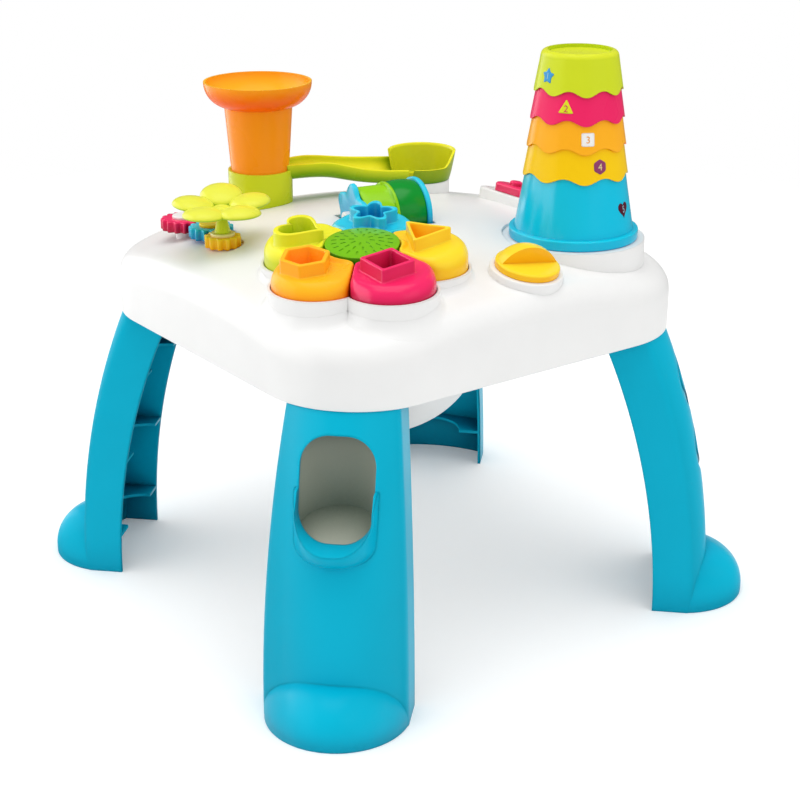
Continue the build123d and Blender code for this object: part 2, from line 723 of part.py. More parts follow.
def run_prism(start, end, levels, near, far):
    """Upright-sided prism along a run between two plan points, from one offset of its middle to another.

    The levels are its lower and upper heights at the start, then at the end.
    """
    length = hypot(end[0] - start[0], end[1] - start[1])
    angle = degrees(atan2(end[1] - start[1], end[0] - start[0]))
    low_a, high_a, low_b, high_b = levels
    outline = Polyline((0, low_a), (0, high_a), (length, high_b), (length, low_b), close=True)
    prism = Pos(0, -near, 0) * extrude(Plane.XZ * make_face(outline), far - near)
    return Pos(start[0], start[1], 0) * Rot(0, 0, angle) * prism


def gutter(start, end, start_z, end_z, foot):
    """Floor and two sides of a sloping run. The sides stand at a foot height, or follow the floor."""
    half = CHUTE_INNER / 2
    under = (start_z - CHUTE_WALL, end_z - CHUTE_WALL)
    low = under if foot is None else (foot, foot)
    floor = run_prism(start, end, (under[0], start_z, under[1], end_z), -half, half)
    walls = (low[0], start_z + CHUTE_SIDE, low[1], end_z + CHUTE_SIDE)
    left = run_prism(start, end, walls, -half - CHUTE_WALL, -half)
    right = run_prism(start, end, walls, half, half + CHUTE_WALL)
    return floor, left, right


def chute_floor_z(y):
    """Floor height of the upper run at a place along it."""
    behind = BOWL_Y + CHUTE_BEHIND
    return CHUTE_START_Z + (CHUTE_KNEE_Z - CHUTE_START_Z) * (behind - y) / (behind - CHUTE_KNEE_Y)


def branch_run():
    """Ends of the branch from under the collar to the upper run."""
    end = Vector(BOWL_X, BRANCH_END_Y)
    way = (Vector(COLLAR_X, COLLAR_Y) - end).normalized()
    start = Vector(COLLAR_X, COLLAR_Y) + way * CHUTE_BEHIND
    return (start.X, start.Y), (end.X, end.Y)


def ball_chute():
    """Inner channels from the two drop holes to the back of the front leg, of flat plates."""
    half = CHUTE_INNER / 2
    knee = (BOWL_X, CHUTE_KNEE_Y)
    upper_start = (BOWL_X, BOWL_Y + CHUTE_BEHIND)
    start, end = branch_run()
    branch_z = chute_floor_z(BRANCH_END_Y) + BRANCH_STEP
    upper = gutter(upper_start, knee, CHUTE_START_Z, CHUTE_KNEE_Z, PAN_TOP_Z)
    lower = gutter(knee, (BOWL_X, CHUTE_END_Y), CHUTE_KNEE_Z, CHUTE_END_Z, None)
    branch = gutter(start, end, CHUTE_START_Z + BRANCH_STEP * 2, branch_z, PAN_TOP_Z)
    tall = (0, CROWN_Z, 0, CROWN_Z)
    inner = run_prism(upper_start, knee, tall, -half, half)
    outer = run_prism(upper_start, knee, tall, -half - CHUTE_WALL, half + CHUTE_WALL)
    doorway = run_prism(start, end, tall, -half, half)
    plates = [upper[0], *[wall - doorway for wall in upper[1:]], *lower]
    plates += [branch[0] - inner, *[wall - outer for wall in branch[1:]]]
    return group(plates)


def track_prism(low, high, half):
    """Sloping prism along the track between two heights measured from its wall tops."""
    levels = (TRACK_START_Z + low, TRACK_START_Z + high, TRACK_END_Z + low, TRACK_END_Z + high)
    return run_prism((COLLAR_X, COLLAR_Y), (BOWL_X, BOWL_Y), levels, -half, half)


def track_space():
    """Space over the floor of the track."""
    return track_prism(TRACK_WALL - TRACK_SIDE, CROWN_Z, TRACK_WIDTH / 2 - TRACK_WALL)


def bowl_cone(low, high, grow):
    """Tapered solid of the bowl between two heights."""
    taper = (BOWL_RADIUS - BOWL_FOOT) / (BOWL_RIM_Z - BOWL_LOW_Z)
    bottom = BOWL_FOOT + taper * (low - BOWL_LOW_Z) + grow
    top = BOWL_FOOT + taper * (high - BOWL_LOW_Z) + grow
    return Pos(BOWL_X, BOWL_Y, (low + high) / 2) * Cone(bottom, top, high - low)


def ball_track():
    """Lime channel that slopes from the collar to the bowl."""
    track = track_prism(-TRACK_SIDE, 0, TRACK_WIDTH / 2) - track_space()
    track -= rod(COLLAR_X, COLLAR_Y, RIM_Z, CROWN_Z * 2, COLLAR_RADIUS + SEAT_GAP)
    return track - bowl_cone(BOWL_LOW_Z - TRACK_SIDE, BOWL_RIM_Z + TRACK_SIDE, SEAT_GAP)


def track_collar():
    """Lime collar on the crown, with the ledge that the funnel stands on."""
    bore = COLLAR_RADIUS - TRACK_WALL
    collar = ring(COLLAR_X, COLLAR_Y, RIM_Z + EDGE_ROUND, COLLAR_TOP_Z, COLLAR_RADIUS, bore)
    low = COLLAR_LEDGE_Z - TRACK_WALL
    ledge = ring(COLLAR_X, COLLAR_Y, low, COLLAR_LEDGE_Z, bore - PRESS_GAP, BALL_HOLE - 1)
    return group([collar - crown_ball(RUN_GAP), ledge])


def end_bowl():
    """Tapered bowl on the crown's tube, open to the track and down into the tube."""
    bowl = bowl_cone(BOWL_LOW_Z, BOWL_RIM_Z, 0)
    bowl -= bowl_cone(BOWL_LOW_Z + TRACK_WALL, BOWL_RIM_Z + TRACK_WALL, -TRACK_WALL)
    bowl -= rod(BOWL_X, BOWL_Y, BOWL_LOW_Z - 1, BOWL_RIM_Z, BALL_HOLE)
    return bowl - track_space()


def funnel():
    """Orange funnel: flared bowl over a tapering tube that stands in the collar."""
    end = COLLAR_RADIUS - TRACK_WALL - SLIDE_GAP
    base = COLLAR_LEDGE_Z
    straight = COLLAR_TOP_Z + 1
    lip = FUNNEL_WALL
    flare = ThreePointArc((FUNNEL_THROAT_RADIUS, FUNNEL_THROAT_Z),
                          ((FUNNEL_THROAT_RADIUS + FUNNEL_RIM_RADIUS) / 2 + 4, FUNNEL_THROAT_Z + 8),
                          (FUNNEL_RIM_RADIUS, FUNNEL_RIM_Z))
    back = ThreePointArc((FUNNEL_RIM_RADIUS - lip, FUNNEL_RIM_Z),
                         ((FUNNEL_THROAT_RADIUS + FUNNEL_RIM_RADIUS) / 2 + 4 - lip, FUNNEL_THROAT_Z + 8 + lip),
                         (FUNNEL_THROAT_RADIUS - lip, FUNNEL_THROAT_Z + lip))
    outside = Polyline((end, base), (end, straight), flare @ 0)
    inside = Polyline(back @ 1, (end - lip, straight), (end - lip, base), (end, base))
    section = make_face(outside + flare + Line(flare @ 1, back @ 0) + back + inside)
    body = revolve(Plane.XZ * section, Axis.Z)
    return Pos(COLLAR_X, COLLAR_Y, 0) * body


# Keys


def heart(size):
    """Heart with its point on +X, built from a square and two circles."""
    side = size * 1.18
    lobe = side / 2
    shape = Rot(0, 0, 45) * Rectangle(side, side)
    reach = lobe / sqrt(2)
    shape += Pos(-reach, reach) * Circle(lobe) + Pos(-reach, -reach) * Circle(lobe)
    return Pos(lobe * 0.35, 0) * shape


def star(size):
    """Five-pointed star with a point on +X."""
    points = [polar(size * (1.08 if i % 2 == 0 else 0.56), 36 * i) for i in range(10)]
    return make_face(Polyline(*points, close=True))


def key_shape(name, size):
    """Outline of the raised shape on a key, turned as it lies on the deck."""
    shapes = {
        "star": (star(size), 90),
        "triangle": (RegularPolygon(size * 1.12, 3), 18),
        "square": (RegularPolygon(size * 1.06, 4), 0),
        "hexagon": (RegularPolygon(size, 6), 30),
        "heart": (heart(size), 162),
    }
    outline, turn = shapes[name]
    return Rot(0, 0, turn) * fillet(outline.vertices(), size * 0.09)


def key_outline(angle):
    """Petal outline: a circle kept between its neighbours and outside the lens."""
    apex = KEY_GAP / 2 / sin(radians(36))
    reach = KEY_RING * 3
    wedge = make_face(Polyline((0, 0), polar(reach, angle - 36), polar(reach, angle + 36), (0, 0)))
    outline = Pos(*polar(KEY_RING, angle)) * Circle(KEY_RADIUS)
    outline &= Pos(*polar(apex, angle)) * wedge
    outline -= Circle(LENS_RADIUS + KEY_GAP)
    return fillet(outline.vertices(), KEY_CORNER)


def key_pitch(x, y):
    """Place on the pitched plane of the key tops over a point of the deck."""
    return Pos(x, y, KEY_TOP + y * tan(radians(KEY_PITCH))) * Rot(KEY_PITCH, 0, 0)


def key(name, angle):
    """Press key: petal with a pitched top, raised hollow shape, hollow underside and guide stem."""
    spot = polar(KEY_RING, angle)
    place = key_pitch(*spot)
    petal = Pos(0, 0, KEY_BASE) * extrude(key_outline(angle), 3 * KEY_TOP)
    petal -= key_pitch(0, 0) * Pos(0, 0, 2 * KEY_RING) * Box(8 * KEY_RING, 8 * KEY_RING, 4 * KEY_RING)
    petal = fillet(petal.faces().sort_by(Axis.Z)[-1].edges(), KEY_ROUND)
    wall = extrude(key_shape(name, KEY_SHAPE), KEY_RAISE + KEY_ROUND)
    wall = fillet(wall.edges().group_by(Axis.Z)[-1], 0.8)
    hollow = extrude(key_shape(name, KEY_SHAPE * KEY_SHAPE_WALL), KEY_RAISE * 2)
    body = petal + place * Pos(0, 0, -KEY_ROUND) * wall - place * Pos(0, 0, -KEY_ROUND) * hollow
    roof = place.position.Z - KEY_ROOF
    body -= rod(*spot, KEY_BASE - 1, roof, KEY_HOLLOW)
    return DECK * (body + rod(*spot, BOARD_W + DOME_HEIGHT, roof + 1, KEY_STEM))


def key_dome(angle):
    """Rubber dome on the board under a key's stem."""
    dome = Cone(DOME_RADIUS, KEY_STEM * 0.8, DOME_HEIGHT)
    dome -= Pos(0, 0, -1) * Cone(DOME_RADIUS - 1.5, KEY_STEM * 0.4, DOME_HEIGHT - 2)
    return DECK * (Pos(*polar(KEY_RING, angle), BOARD_W + DOME_HEIGHT / 2) * dome)


def speaker_lens():
    """Green lens with a low crown and rings of sound slots, pitched as the keys are."""
    bowl = LENS_RADIUS**2 / (2 * LENS_CROWN) + LENS_CROWN / 2
    low = -KEY_POCKET
    pitch = Pos(0, 0, LENS_RIM) * Rot(KEY_PITCH, 0, 0)
    lens = rod(0, 0, low, LENS_RIM + 4 * LENS_CROWN, LENS_RADIUS)
    lens &= pitch * Pos(0, 0, LENS_CROWN - bowl) * Rot(0, 90, 0) * Sphere(bowl)
    lens -= rod(0, 0, low - 1, LENS_RIM - 2 * WALL, LENS_RADIUS - WALL)
    for row, count in enumerate((8, 14, 20)):
        reach = LENS_RADIUS * (0.28 + 0.24 * row)
        for i in range(count):
            slot = Rot(0, 0, 360 * i / count) * Pos(reach, 0, 0) * Box(4.2, 1.3, 8 * WALL)
            lens -= pitch * slot
    return DECK * lens


def speaker():
    """Speaker driver under the deck floor."""
    high = DECK_UNDER
    frame = Pos(0, 0, high - SPEAKER_DEPTH / 2) * Cone(SPEAKER_RADIUS * 0.6, SPEAKER_RADIUS, SPEAKER_DEPTH)
    magnet = Pos(0, 0, high - SPEAKER_DEPTH - 3) * Cylinder(SPEAKER_RADIUS * 0.55, 6)
    return DECK * (frame + magnet)


def circuit_board():
    """Round board that carries the key domes, on posts under the deck."""
    board = Circle(BOARD_RADIUS) - Circle(SPEAKER_RADIUS + WALL)
    for x, y in board_posts():
        board -= Pos(x, y) * Circle(SCREW_RADIUS / 2 + SEAT_GAP)
    return deck_slab(board, BOARD_W - BOARD_THICK, BOARD_W)


def board_screws():
    """Small screws holding the board to its posts."""
    screws = []
    for x, y in board_posts():
        low = BOARD_W - BOARD_THICK
        shank = Pos(x, y, low + SCREW_BITE / 4) * Cylinder(SCREW_RADIUS / 2, SCREW_BITE / 2)
        head = Pos(x, y, low - SCREW_RADIUS / 2) * Cylinder(SCREW_RADIUS, SCREW_RADIUS)
        screws.append(DECK * (shank + head))
    return group(screws)


# Gears and flower


def gear(teeth, phase):
    """Spur gear with rounded teeth, one of them at the phase angle."""
    pitch_radius = gear_radius(teeth)
    tooth = gear_tooth()
    root = pitch_radius - tooth - SEAT_GAP
    outline = Circle(root)
    for i in range(teeth):
        turn = Rot(0, 0, phase + 360 * i / teeth)
        outline += turn * (Pos(pitch_radius, 0) * Circle(tooth))
        outline += turn * (Pos(pitch_radius - tooth, 0) * Rectangle(2 * tooth, 1.8 * tooth))
    outline -= Circle(AXLE_RADIUS + RUN_GAP)
    return extrude(outline, GEAR_THICK)


def gear_phases():
    """Tooth angles that put the three gears in mesh: a tooth of one in a gap of the next."""
    yellow = YELLOW_BEARING + 180
    blue = YELLOW_BEARING + 180 / BLUE_TEETH
    share = (PINK_BEARING - blue) / (360 / BLUE_TEETH) % 1
    pink = PINK_BEARING + 180 + (share - 0.5) * 360 / PINK_TEETH
    return {"yellow": yellow, "blue": blue, "pink": pink}


def gear_at(name, teeth):
    """Gear in its place on its post."""
    x, y = gear_places()[name]
    return Pos(x, y, GEAR_Z + RUN_GAP) * gear(teeth, gear_phases()[name])


def gear_cap(name):
    """Round cap on top of a gear."""
    x, y = gear_places()[name]
    cap = Pos(0, 0, CAP_THICK / 2) * Cylinder(CAP_RADIUS, CAP_THICK)
    cap = fillet(cap.edges().group_by(Axis.Z)[-1], CAP_THICK / 3)
    return Pos(x, y, GEAR_Z + RUN_GAP + GEAR_THICK) * cap


def gear_peg():
    """Small grip peg near the rim of the pink gear."""
    x, y = gear_places()["pink"]
    dx, dy = polar(CAP_RADIUS + PEG_RADIUS + 0.5, 75)
    peg = Pos(0, 0, PEG_HEIGHT / 2) * Cylinder(PEG_RADIUS, PEG_HEIGHT)
    peg = fillet(peg.edges().group_by(Axis.Z)[-1], PEG_RADIUS * 0.6)
    return Pos(x + dx, y + dy, GEAR_Z + RUN_GAP + GEAR_THICK) * peg


def gear_axles():
    """Pins pressed in the posts, one under each gear."""
    low = GEAR_Z - AXLE_BITE
    high = GEAR_Z + GEAR_THICK - 1
    return group([rod(x, y, low, high, AXLE_RADIUS) for x, y in gear_places().values()])


def flower_stem():
    """Lime stem on the yellow gear's cap."""
    x, y = gear_places()["yellow"]
    low = GEAR_Z + RUN_GAP + GEAR_THICK + CAP_THICK
    stem = Pos(0, 0, STEM_HEIGHT / 2) * Cone(STEM_RADIUS * 2, STEM_RADIUS, STEM_HEIGHT)
    return Pos(x, y, low) * stem


def flower_petals():
    """Five cupped petals round a hub on top of the stem."""
    x, y = gear_places()["yellow"]
    low = GEAR_Z + RUN_GAP + GEAR_THICK + CAP_THICK + STEM_HEIGHT
    hub = Pos(0, 0, PETAL_THICK * 0.75) * Cylinder(STEM_RADIUS * 2, PETAL_THICK * 1.5)
    blade = extrude(Circle(PETAL_RADIUS), PETAL_THICK)
    blade = fillet(blade.edges(), PETAL_THICK * 0.35)
    reach = PETAL_RING / cos(radians(PETAL_LIFT))
    flower = hub
    for i in range(5):
        flower += Rot(0, 0, 72 * i - 18) * Rot(0, -PETAL_LIFT, 0) * Pos(reach, 0, 0) * blade
    arm = Pos(PETAL_RING / 2, 0, PETAL_THICK * 0.6) * Box(PETAL_RING, STEM_RADIUS * 2, PETAL_THICK)
    for i in range(5):
        flower += Rot(0, 0, 72 * i - 18) * Rot(0, -PETAL_LIFT / 2, 0) * arm
    trim = Pos(0, 0, -PETAL_THICK * 5) * Box(PETAL_RING * 4, PETAL_RING * 4, PETAL_THICK * 10)
    return Pos(x, y, low) * (flower - trim)


# Roller


def roller_drum():
    """Drum with bars along it."""
    core = Cylinder(ROLLER_RADIUS * 0.78, ROLLER_SPAN)
    for i in range(ROLLER_BARS):
        bar = Pos(ROLLER_RADIUS * 0.80, 0, 0) * Cylinder(ROLLER_RADIUS * 0.11, ROLLER_SPAN)
        core += Rot(0, 0, 360 * i / ROLLER_BARS) * bar
    return ROLLER * (core - Cylinder(AXLE_RADIUS + PRESS_GAP, ROLLER_SPAN * 2))


def roller_disc(side):
    """Scalloped end disc."""
    waves = 10
    disc = Circle(ROLLER_RADIUS * 0.93)
    for i in range(waves):
        disc += Pos(*polar(ROLLER_RADIUS * 0.84, 360 * i / waves)) * Circle(ROLLER_RADIUS * 0.16)
    disc -= Circle(AXLE_RADIUS + PRESS_GAP)
    plate = extrude(disc, ROLLER_DISC)
    low = ROLLER_SPAN / 2 if side > 0 else -ROLLER_SPAN / 2 - ROLLER_DISC
    return ROLLER * (Pos(0, 0, low) * plate)


def roller_axle():
    """Axle through the drum and both discs, running in the ears."""
    return ROLLER * Cylinder(AXLE_RADIUS, 2 * (ROLLER_HALF + ROLLER_GAP + ROLLER_EAR))


# Knob and slider


def selector_knob():
    """Rotary knob: round base with half a dome standing on it, and its shaft."""
    low = KNOB_BOSS_HEIGHT + SEAT_GAP
    base = Pos(0, 0, low + KNOB_BASE / 2) * Cylinder(KNOB_RADIUS, KNOB_BASE)
    base = fillet(base.edges().group_by(Axis.Z)[-1], KNOB_BASE / 3)
    rim = KNOB_RADIUS - KNOB_BASE / 3
    ball = (rim**2 + KNOB_DOME**2) / (2 * KNOB_DOME)
    dome = Pos(0, 0, low + KNOB_BASE - ball + KNOB_DOME) * Rot(0, 90, 0) * Sphere(ball)
    keep = Pos(0, KNOB_RADIUS, low + KNOB_BASE + KNOB_DOME / 2 - 0.5) * Box(
        4 * KNOB_RADIUS, 2 * KNOB_RADIUS + 6, KNOB_DOME + 1
    )
    grip = dome & (Rot(0, 0, KNOB_RIDGE_BEARING) * keep)
    shaft = Pos(0, 0, low - KNOB_SHAFT_DROP / 2 + 0.5) * Cylinder(KNOB_SHAFT, KNOB_SHAFT_DROP + 1)
    return KNOB * (base + grip + shaft)


def slider():
    """Pink slider with a finger knob on top and a tongue in the rail's slot."""
    low = RAIL_HEIGHT + SEAT_GAP
    body = extrude(SlotOverall(SLIDER_LENGTH, SLIDER_WIDTH), SLIDER_HEIGHT)
    body = fillet(body.edges().group_by(Axis.Z)[-1], SLIDER_HEIGHT * 0.3)
    button = Pos(0, 0, SLIDER_HEIGHT + SLIDER_KNOB / 4) * Cylinder(SLIDER_KNOB, SLIDER_KNOB)
    button = fillet(button.edges().group_by(Axis.Z)[-1], SLIDER_KNOB * 0.4)
    tongue = Pos(0, 0, -SLIDER_TONGUE * 0.4) * Box(
        SLIDER_LENGTH * 0.7, RAIL_SLOT - 2 * SLIDE_GAP, SLIDER_TONGUE
    )
    return RAIL * (Pos(0, 0, low) * (body + button + tongue))


# Stacking cups


def cup_spigot():
    """White ring on the cup seat that keeps the bottom cup in place."""
    radius = CUP_FOOT_RADIUS - CUP_WALL - CUP_GAP - CUP_TAPER * CUP_LIP_HEIGHT - 1
    return ring(CUP_X, CUP_Y, CUP_SEAT_Z, CUP_SEAT_Z + CUP_LIP_HEIGHT / 2, radius, radius - WALL)


def cup_levels():
    """Lower edge height, foot radius and top height of each cup, from the bottom up."""
    levels = []
    low = CUP_SEAT_Z
    radius = CUP_FOOT_RADIUS
    for i, visible in enumerate(CUP_VISIBLE):
        last = i == len(CUP_VISIBLE) - 1
        top = low + visible + (0 if last else CUP_OVERLAP)
        levels.append((low, radius, top))
        radius += CUP_WALL + CUP_GAP - CUP_TAPER * visible
        low += visible
    return levels


def cup_cone(low, high, foot_z, foot_radius, inset):
    """Tapered solid of a cup between two heights."""
    bottom = foot_radius - CUP_TAPER * (low - foot_z) - inset
    top = foot_radius - CUP_TAPER * (high - foot_z) - inset
    return Pos(CUP_X, CUP_Y, (low + high) / 2) * Cone(bottom, top, high - low)


def cup_waves(z, radius, shift):
    """Radial rods round a cup whose arcs make the waves of its lower edge."""
    quarter = pi * radius / (2 * CUP_WAVES)
    arc = (quarter**2 + CUP_WAVE**2) / (2 * CUP_WAVE)
    lift = (arc - CUP_WAVE) * (1 if shift == 0 else -1)
    rods = []
    for i in range(CUP_WAVES):
        bar = Pos(radius / 2 + CUP_WAVE, 0, 0) * Rot(0, 90, 0) * Cylinder(arc - RUN_GAP * 5, radius)
        rods.append(Pos(CUP_X, CUP_Y, z + lift) * Rot(0, 0, 360 * (i + shift + 0.3) / CUP_WAVES) * bar)
    return rods


def cup(index):
    """Upside-down cup: tapered wall, closed top and a ledge that sits on the cup below."""
    foot_z, foot_radius, top = cup_levels()[index]
    first = index == 0
    low = foot_z if first else foot_z - CUP_WAVE
    body = cup_cone(low, top, foot_z, foot_radius, 0)
    body = fillet(body.edges().group_by(Axis.Z)[-1], CUP_SHOULDER)
    recess = CUP_RECESS if index == len(CUP_VISIBLE) - 1 else 0
    roof = top - CUP_WALL - recess
    body -= cup_cone(low - 1, roof, foot_z, foot_radius, CUP_WALL)
    if recess:
        rim = foot_radius - CUP_TAPER * (top - foot_z) - CUP_SHOULDER
        body -= rod(CUP_X, CUP_Y, top - recess, top + 1, rim)
    if first:
        body += ring(CUP_X, CUP_Y, foot_z, foot_z + CUP_LIP_HEIGHT, CUP_LIP_RADIUS, foot_radius - CUP_WALL)
        body = fillet(body.edges().filter_by(GeomType.CIRCLE).group_by(SortBy.RADIUS)[-1], CUP_WALL)
        return body - cup_cone(foot_z - 1, foot_z + CUP_LIP_HEIGHT + 1, foot_z, foot_radius, CUP_WALL)
    below = cup_levels()[index - 1][2]
    ledge = cup_cone(below, below + CUP_WALL, foot_z, foot_radius, CUP_WALL / 2)
    inner = foot_radius - CUP_TAPER * (below - foot_z) - CUP_SHOULDER - CUP_LEDGE
    body += ledge - rod(CUP_X, CUP_Y, below - 1, below + CUP_WALL + 1, inner)
    slab = Pos(CUP_X, CUP_Y, foot_z - CUP_WAVE) * Box(4 * foot_radius, 4 * foot_radius, 2 * CUP_WAVE)
    drops = body & slab
    body -= slab
    for wave in cup_waves(foot_z, foot_radius, 0.5):
        body -= wave
    for wave in cup_waves(foot_z, foot_radius, 0):
        body += drops & wave
    return body


def pan_screws():
    """Screws through the pan into the tabletop's bosses."""
    return group([Pos(x, y, PAN_Z) * screw(WALL + SCREW_BITE - 1) for x, y in pan_screw_places()])


def leg_screws():
    """Screws up through each leg's web into the tabletop."""
    under = RIM_Z + LEG_NECK - LEG_WEB
    screws = []
    for corner in range(4):
        for x, y in leg_screw_places():
            screws.append(to_corner(Pos(x, y, under) * screw(LEG_WEB + SCREW_BITE - 1), 90 * corner))
    return group(screws)


def battery_screw():
    """Screw of the battery door."""
    x, y = door_screw_place()
    return Pos(x, y, PAN_Z) * screw(WALL + SCREW_BITE * 0.6)


def pieces():
    """Every piece of the desk by its node name."""
    plain = leg_body()
    upper_ribs = ribbed(plain, LEG_RIB_LEVELS)
    made = {
        "tabletop": tabletop(),
        "key_deck": key_deck(),
        "cup_spigot": cup_spigot(),
        "base_pan": base_pan(),
        "belly": belly_cover(),
        "pan_screws": pan_screws(),
        "right_leg": upper_ribs - groove_band(),
        "back_leg": to_corner(upper_ribs, 90),
        "left_leg": to_corner(upper_ribs, 180),
        "front_leg": to_corner(front_leg(ribbed(plain, LEG_RIB_LEVELS[:2])), -90),
        "leg_screws": leg_screws(),
        "outlet_scoop": to_corner(outlet_scoop(), -90),
        "ball_chute": ball_chute(),
        "track_collar": track_collar(),
        "ball_track": ball_track(),
        "end_bowl": end_bowl(),
        "funnel": funnel(),
        "battery_door": battery_door(),
        "battery_screw": battery_screw(),
        "batteries": batteries(),
        "speaker_lens": speaker_lens(),
        "speaker": speaker(),
        "circuit_board": circuit_board(),
        "board_screws": board_screws(),
        "gear_axles": gear_axles(),
        "yellow_gear": gear_at("yellow", YELLOW_TEETH),
        "yellow_gear_cap": gear_cap("yellow"),
        "flower_stem": flower_stem(),
        "flower_petals": flower_petals(),
        "blue_gear": gear_at("blue", BLUE_TEETH),
        "blue_gear_cap": gear_cap("blue"),
        "pink_gear": gear_at("pink", PINK_TEETH),
        "pink_gear_cap": gear_cap("pink"),
        "gear_peg": gear_peg(),
        "roller_drum": roller_drum(),
        "roller_left_disc": roller_disc(-1),
        "roller_right_disc": roller_disc(1),
        "roller_axle": roller_axle(),
        "selector_knob": selector_knob(),
        "slider": slider(),
    }
    for name, angle in zip(KEY_NAMES, KEY_ANGLES):
        made[f"{name}_key"] = key(name, angle)
        made[f"{name}_dome"] = key_dome(angle)
    for index in range(len(CUP_VISIBLE)):
        made[f"cup_{len(CUP_VISIBLE) - index}"] = cup(index)
    return made


for node, shape in pieces().items():
    export_step(shape, f"parts/{node}.step")
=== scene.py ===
"""Looks of a toddler learning desk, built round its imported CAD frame. Metres, +Z up, front on -Y."""

import math

import bpy
import numpy as np
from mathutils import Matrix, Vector
from mathutils.bvhtree import BVHTree

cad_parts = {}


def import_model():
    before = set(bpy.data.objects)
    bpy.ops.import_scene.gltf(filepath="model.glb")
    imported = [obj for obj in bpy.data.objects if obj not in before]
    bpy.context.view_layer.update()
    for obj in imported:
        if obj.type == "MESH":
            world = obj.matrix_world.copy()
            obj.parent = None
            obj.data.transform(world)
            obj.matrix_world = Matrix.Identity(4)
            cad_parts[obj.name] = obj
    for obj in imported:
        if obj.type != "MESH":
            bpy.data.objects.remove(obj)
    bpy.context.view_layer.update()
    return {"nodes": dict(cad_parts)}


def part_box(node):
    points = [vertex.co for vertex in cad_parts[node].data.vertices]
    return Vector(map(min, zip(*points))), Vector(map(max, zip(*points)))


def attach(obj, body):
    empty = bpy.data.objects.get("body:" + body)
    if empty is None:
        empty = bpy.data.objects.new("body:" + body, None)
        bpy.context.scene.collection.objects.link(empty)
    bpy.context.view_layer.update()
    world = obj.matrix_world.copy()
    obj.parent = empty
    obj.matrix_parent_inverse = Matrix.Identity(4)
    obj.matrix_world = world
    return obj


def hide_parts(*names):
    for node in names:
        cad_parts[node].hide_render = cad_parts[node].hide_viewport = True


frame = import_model()
NODES = frame["nodes"]
MM = 0.001
SHARP_ANGLE = math.radians(50)

# Camera fitted to the photograph
CAM_AZIMUTH = 8.75
CAM_ELEVATION = 21.32
CAM_DISTANCE = 1.5215
CAM_TARGET = (0.00898, 0.0, 0.16806)
CAM_LENS = 74.12
CAM_SENSOR = 36.0

# Brightness of the surroundings: sky at the horizon and overhead, its dimmer front, and what reflections
# show instead, a dark sky and a bright card at the left
SKY_LOW = 0.90
SKY_HIGH = 0.86
SKY_FRONT = (0.15, -1.0, 0.1)
SKY_FRONT_EDGE = (0.25, 1.0)
SKY_FRONT_SHARE = 0.80
SKY_IN_REFLECTIONS = 0.15
CARD_IN_REFLECTIONS = 3.0
CARD_DIRECTION = (-1.0, 0.0, 0.05)
CARD_EDGE = (0.62, 0.70)

# Lamps: place and aim, width and height, brightness per area, in m
PANELS = {
    "left_panel": ((-2.2, -0.6, 1.5), (0, 0, 0.25), 2.4, 2.0, 0.48),
    "right_panel": ((2.3, -1.4, 1.4), (0, 0, 0.2), 2.2, 1.6, 0.50),
    "top_panel": ((0.0, -0.3, 3.0), (0, 0, 0.2), 2.4, 2.4, 1.55),
}

# Floor: radius in m, sides, colour, the shares of the radius over which it fades, and its glow to the camera
FLOOR_RADIUS, FLOOR_SIDES = 1.8, 96
FLOOR_COLOUR = (0.97, 0.965, 0.96, 1.0)
FLOOR_FADE = (0.35, 0.98)
FLOOR_LIFT = 0.13
PURE_WHITE = (1.0, 1.0, 1.0, 1.0)

# Finish of moulded plastic: scale and detail of its mottling and grain, and what the mottling changes
MOTTLE, GRAIN = (22.0, 3.0), (1400.0, 2.0)
MOTTLE_SHADE, MOTTLE_GLOSS = (0.97, 1.03), (-0.04, 0.04)
GRAIN_STRENGTH, GRAIN_DEPTH = 0.05, 0.2
# Spans of ambient occlusion and of the normal's upward slant over which painted shade in corners and on
# undersides fades out
CORNER_SHADE_EDGE, UNDERSIDE_SHADE_EDGE = (0.12, 0.65), (-0.75, 0.65)

# Plated steel: colour, scale of its turning marks, and the roughness between them
STEEL_COLOUR, STEEL_MARKS, STEEL_ROUGHNESS = (186, 188, 190), 900.0, (0.25, 0.45)

# Radius in mm that light sees on the sharp edges of a plastic
EDGE = 0.8
SOFT_EDGES = {"leg": 3.5, "white": 1.6}

# Reach in mm of the ambient occlusion over which a plastic turns to its deep colour, painted shade in
# corners and hollows; long in the legs, the tub and the bowl, to paint shade deep inside them
SHADE_REACH = 30.0
SHADE_REACHES = {"leg": 80.0, "tub": 60.0, "bowl": 45.0}

# How far the undersides of a plastic turn to its deep colour too, painted shade where less light falls from
# below
UNDERSIDE_SHADE = 1.0
UNDERSIDE_SHADES = {"leg": 0.25, "white": 0.0, "tub": 0.0, "black": 0.0, "cell": 0.0, "board": 0.0, "rubber": 0.0}

# Legs bulge across their width: the axis across each, and the radius in mm
LEG_CROWN = 75.0
LEG_ACROSS = {"front_leg": 0, "back_leg": 0, "left_leg": 1, "right_leg": 1}
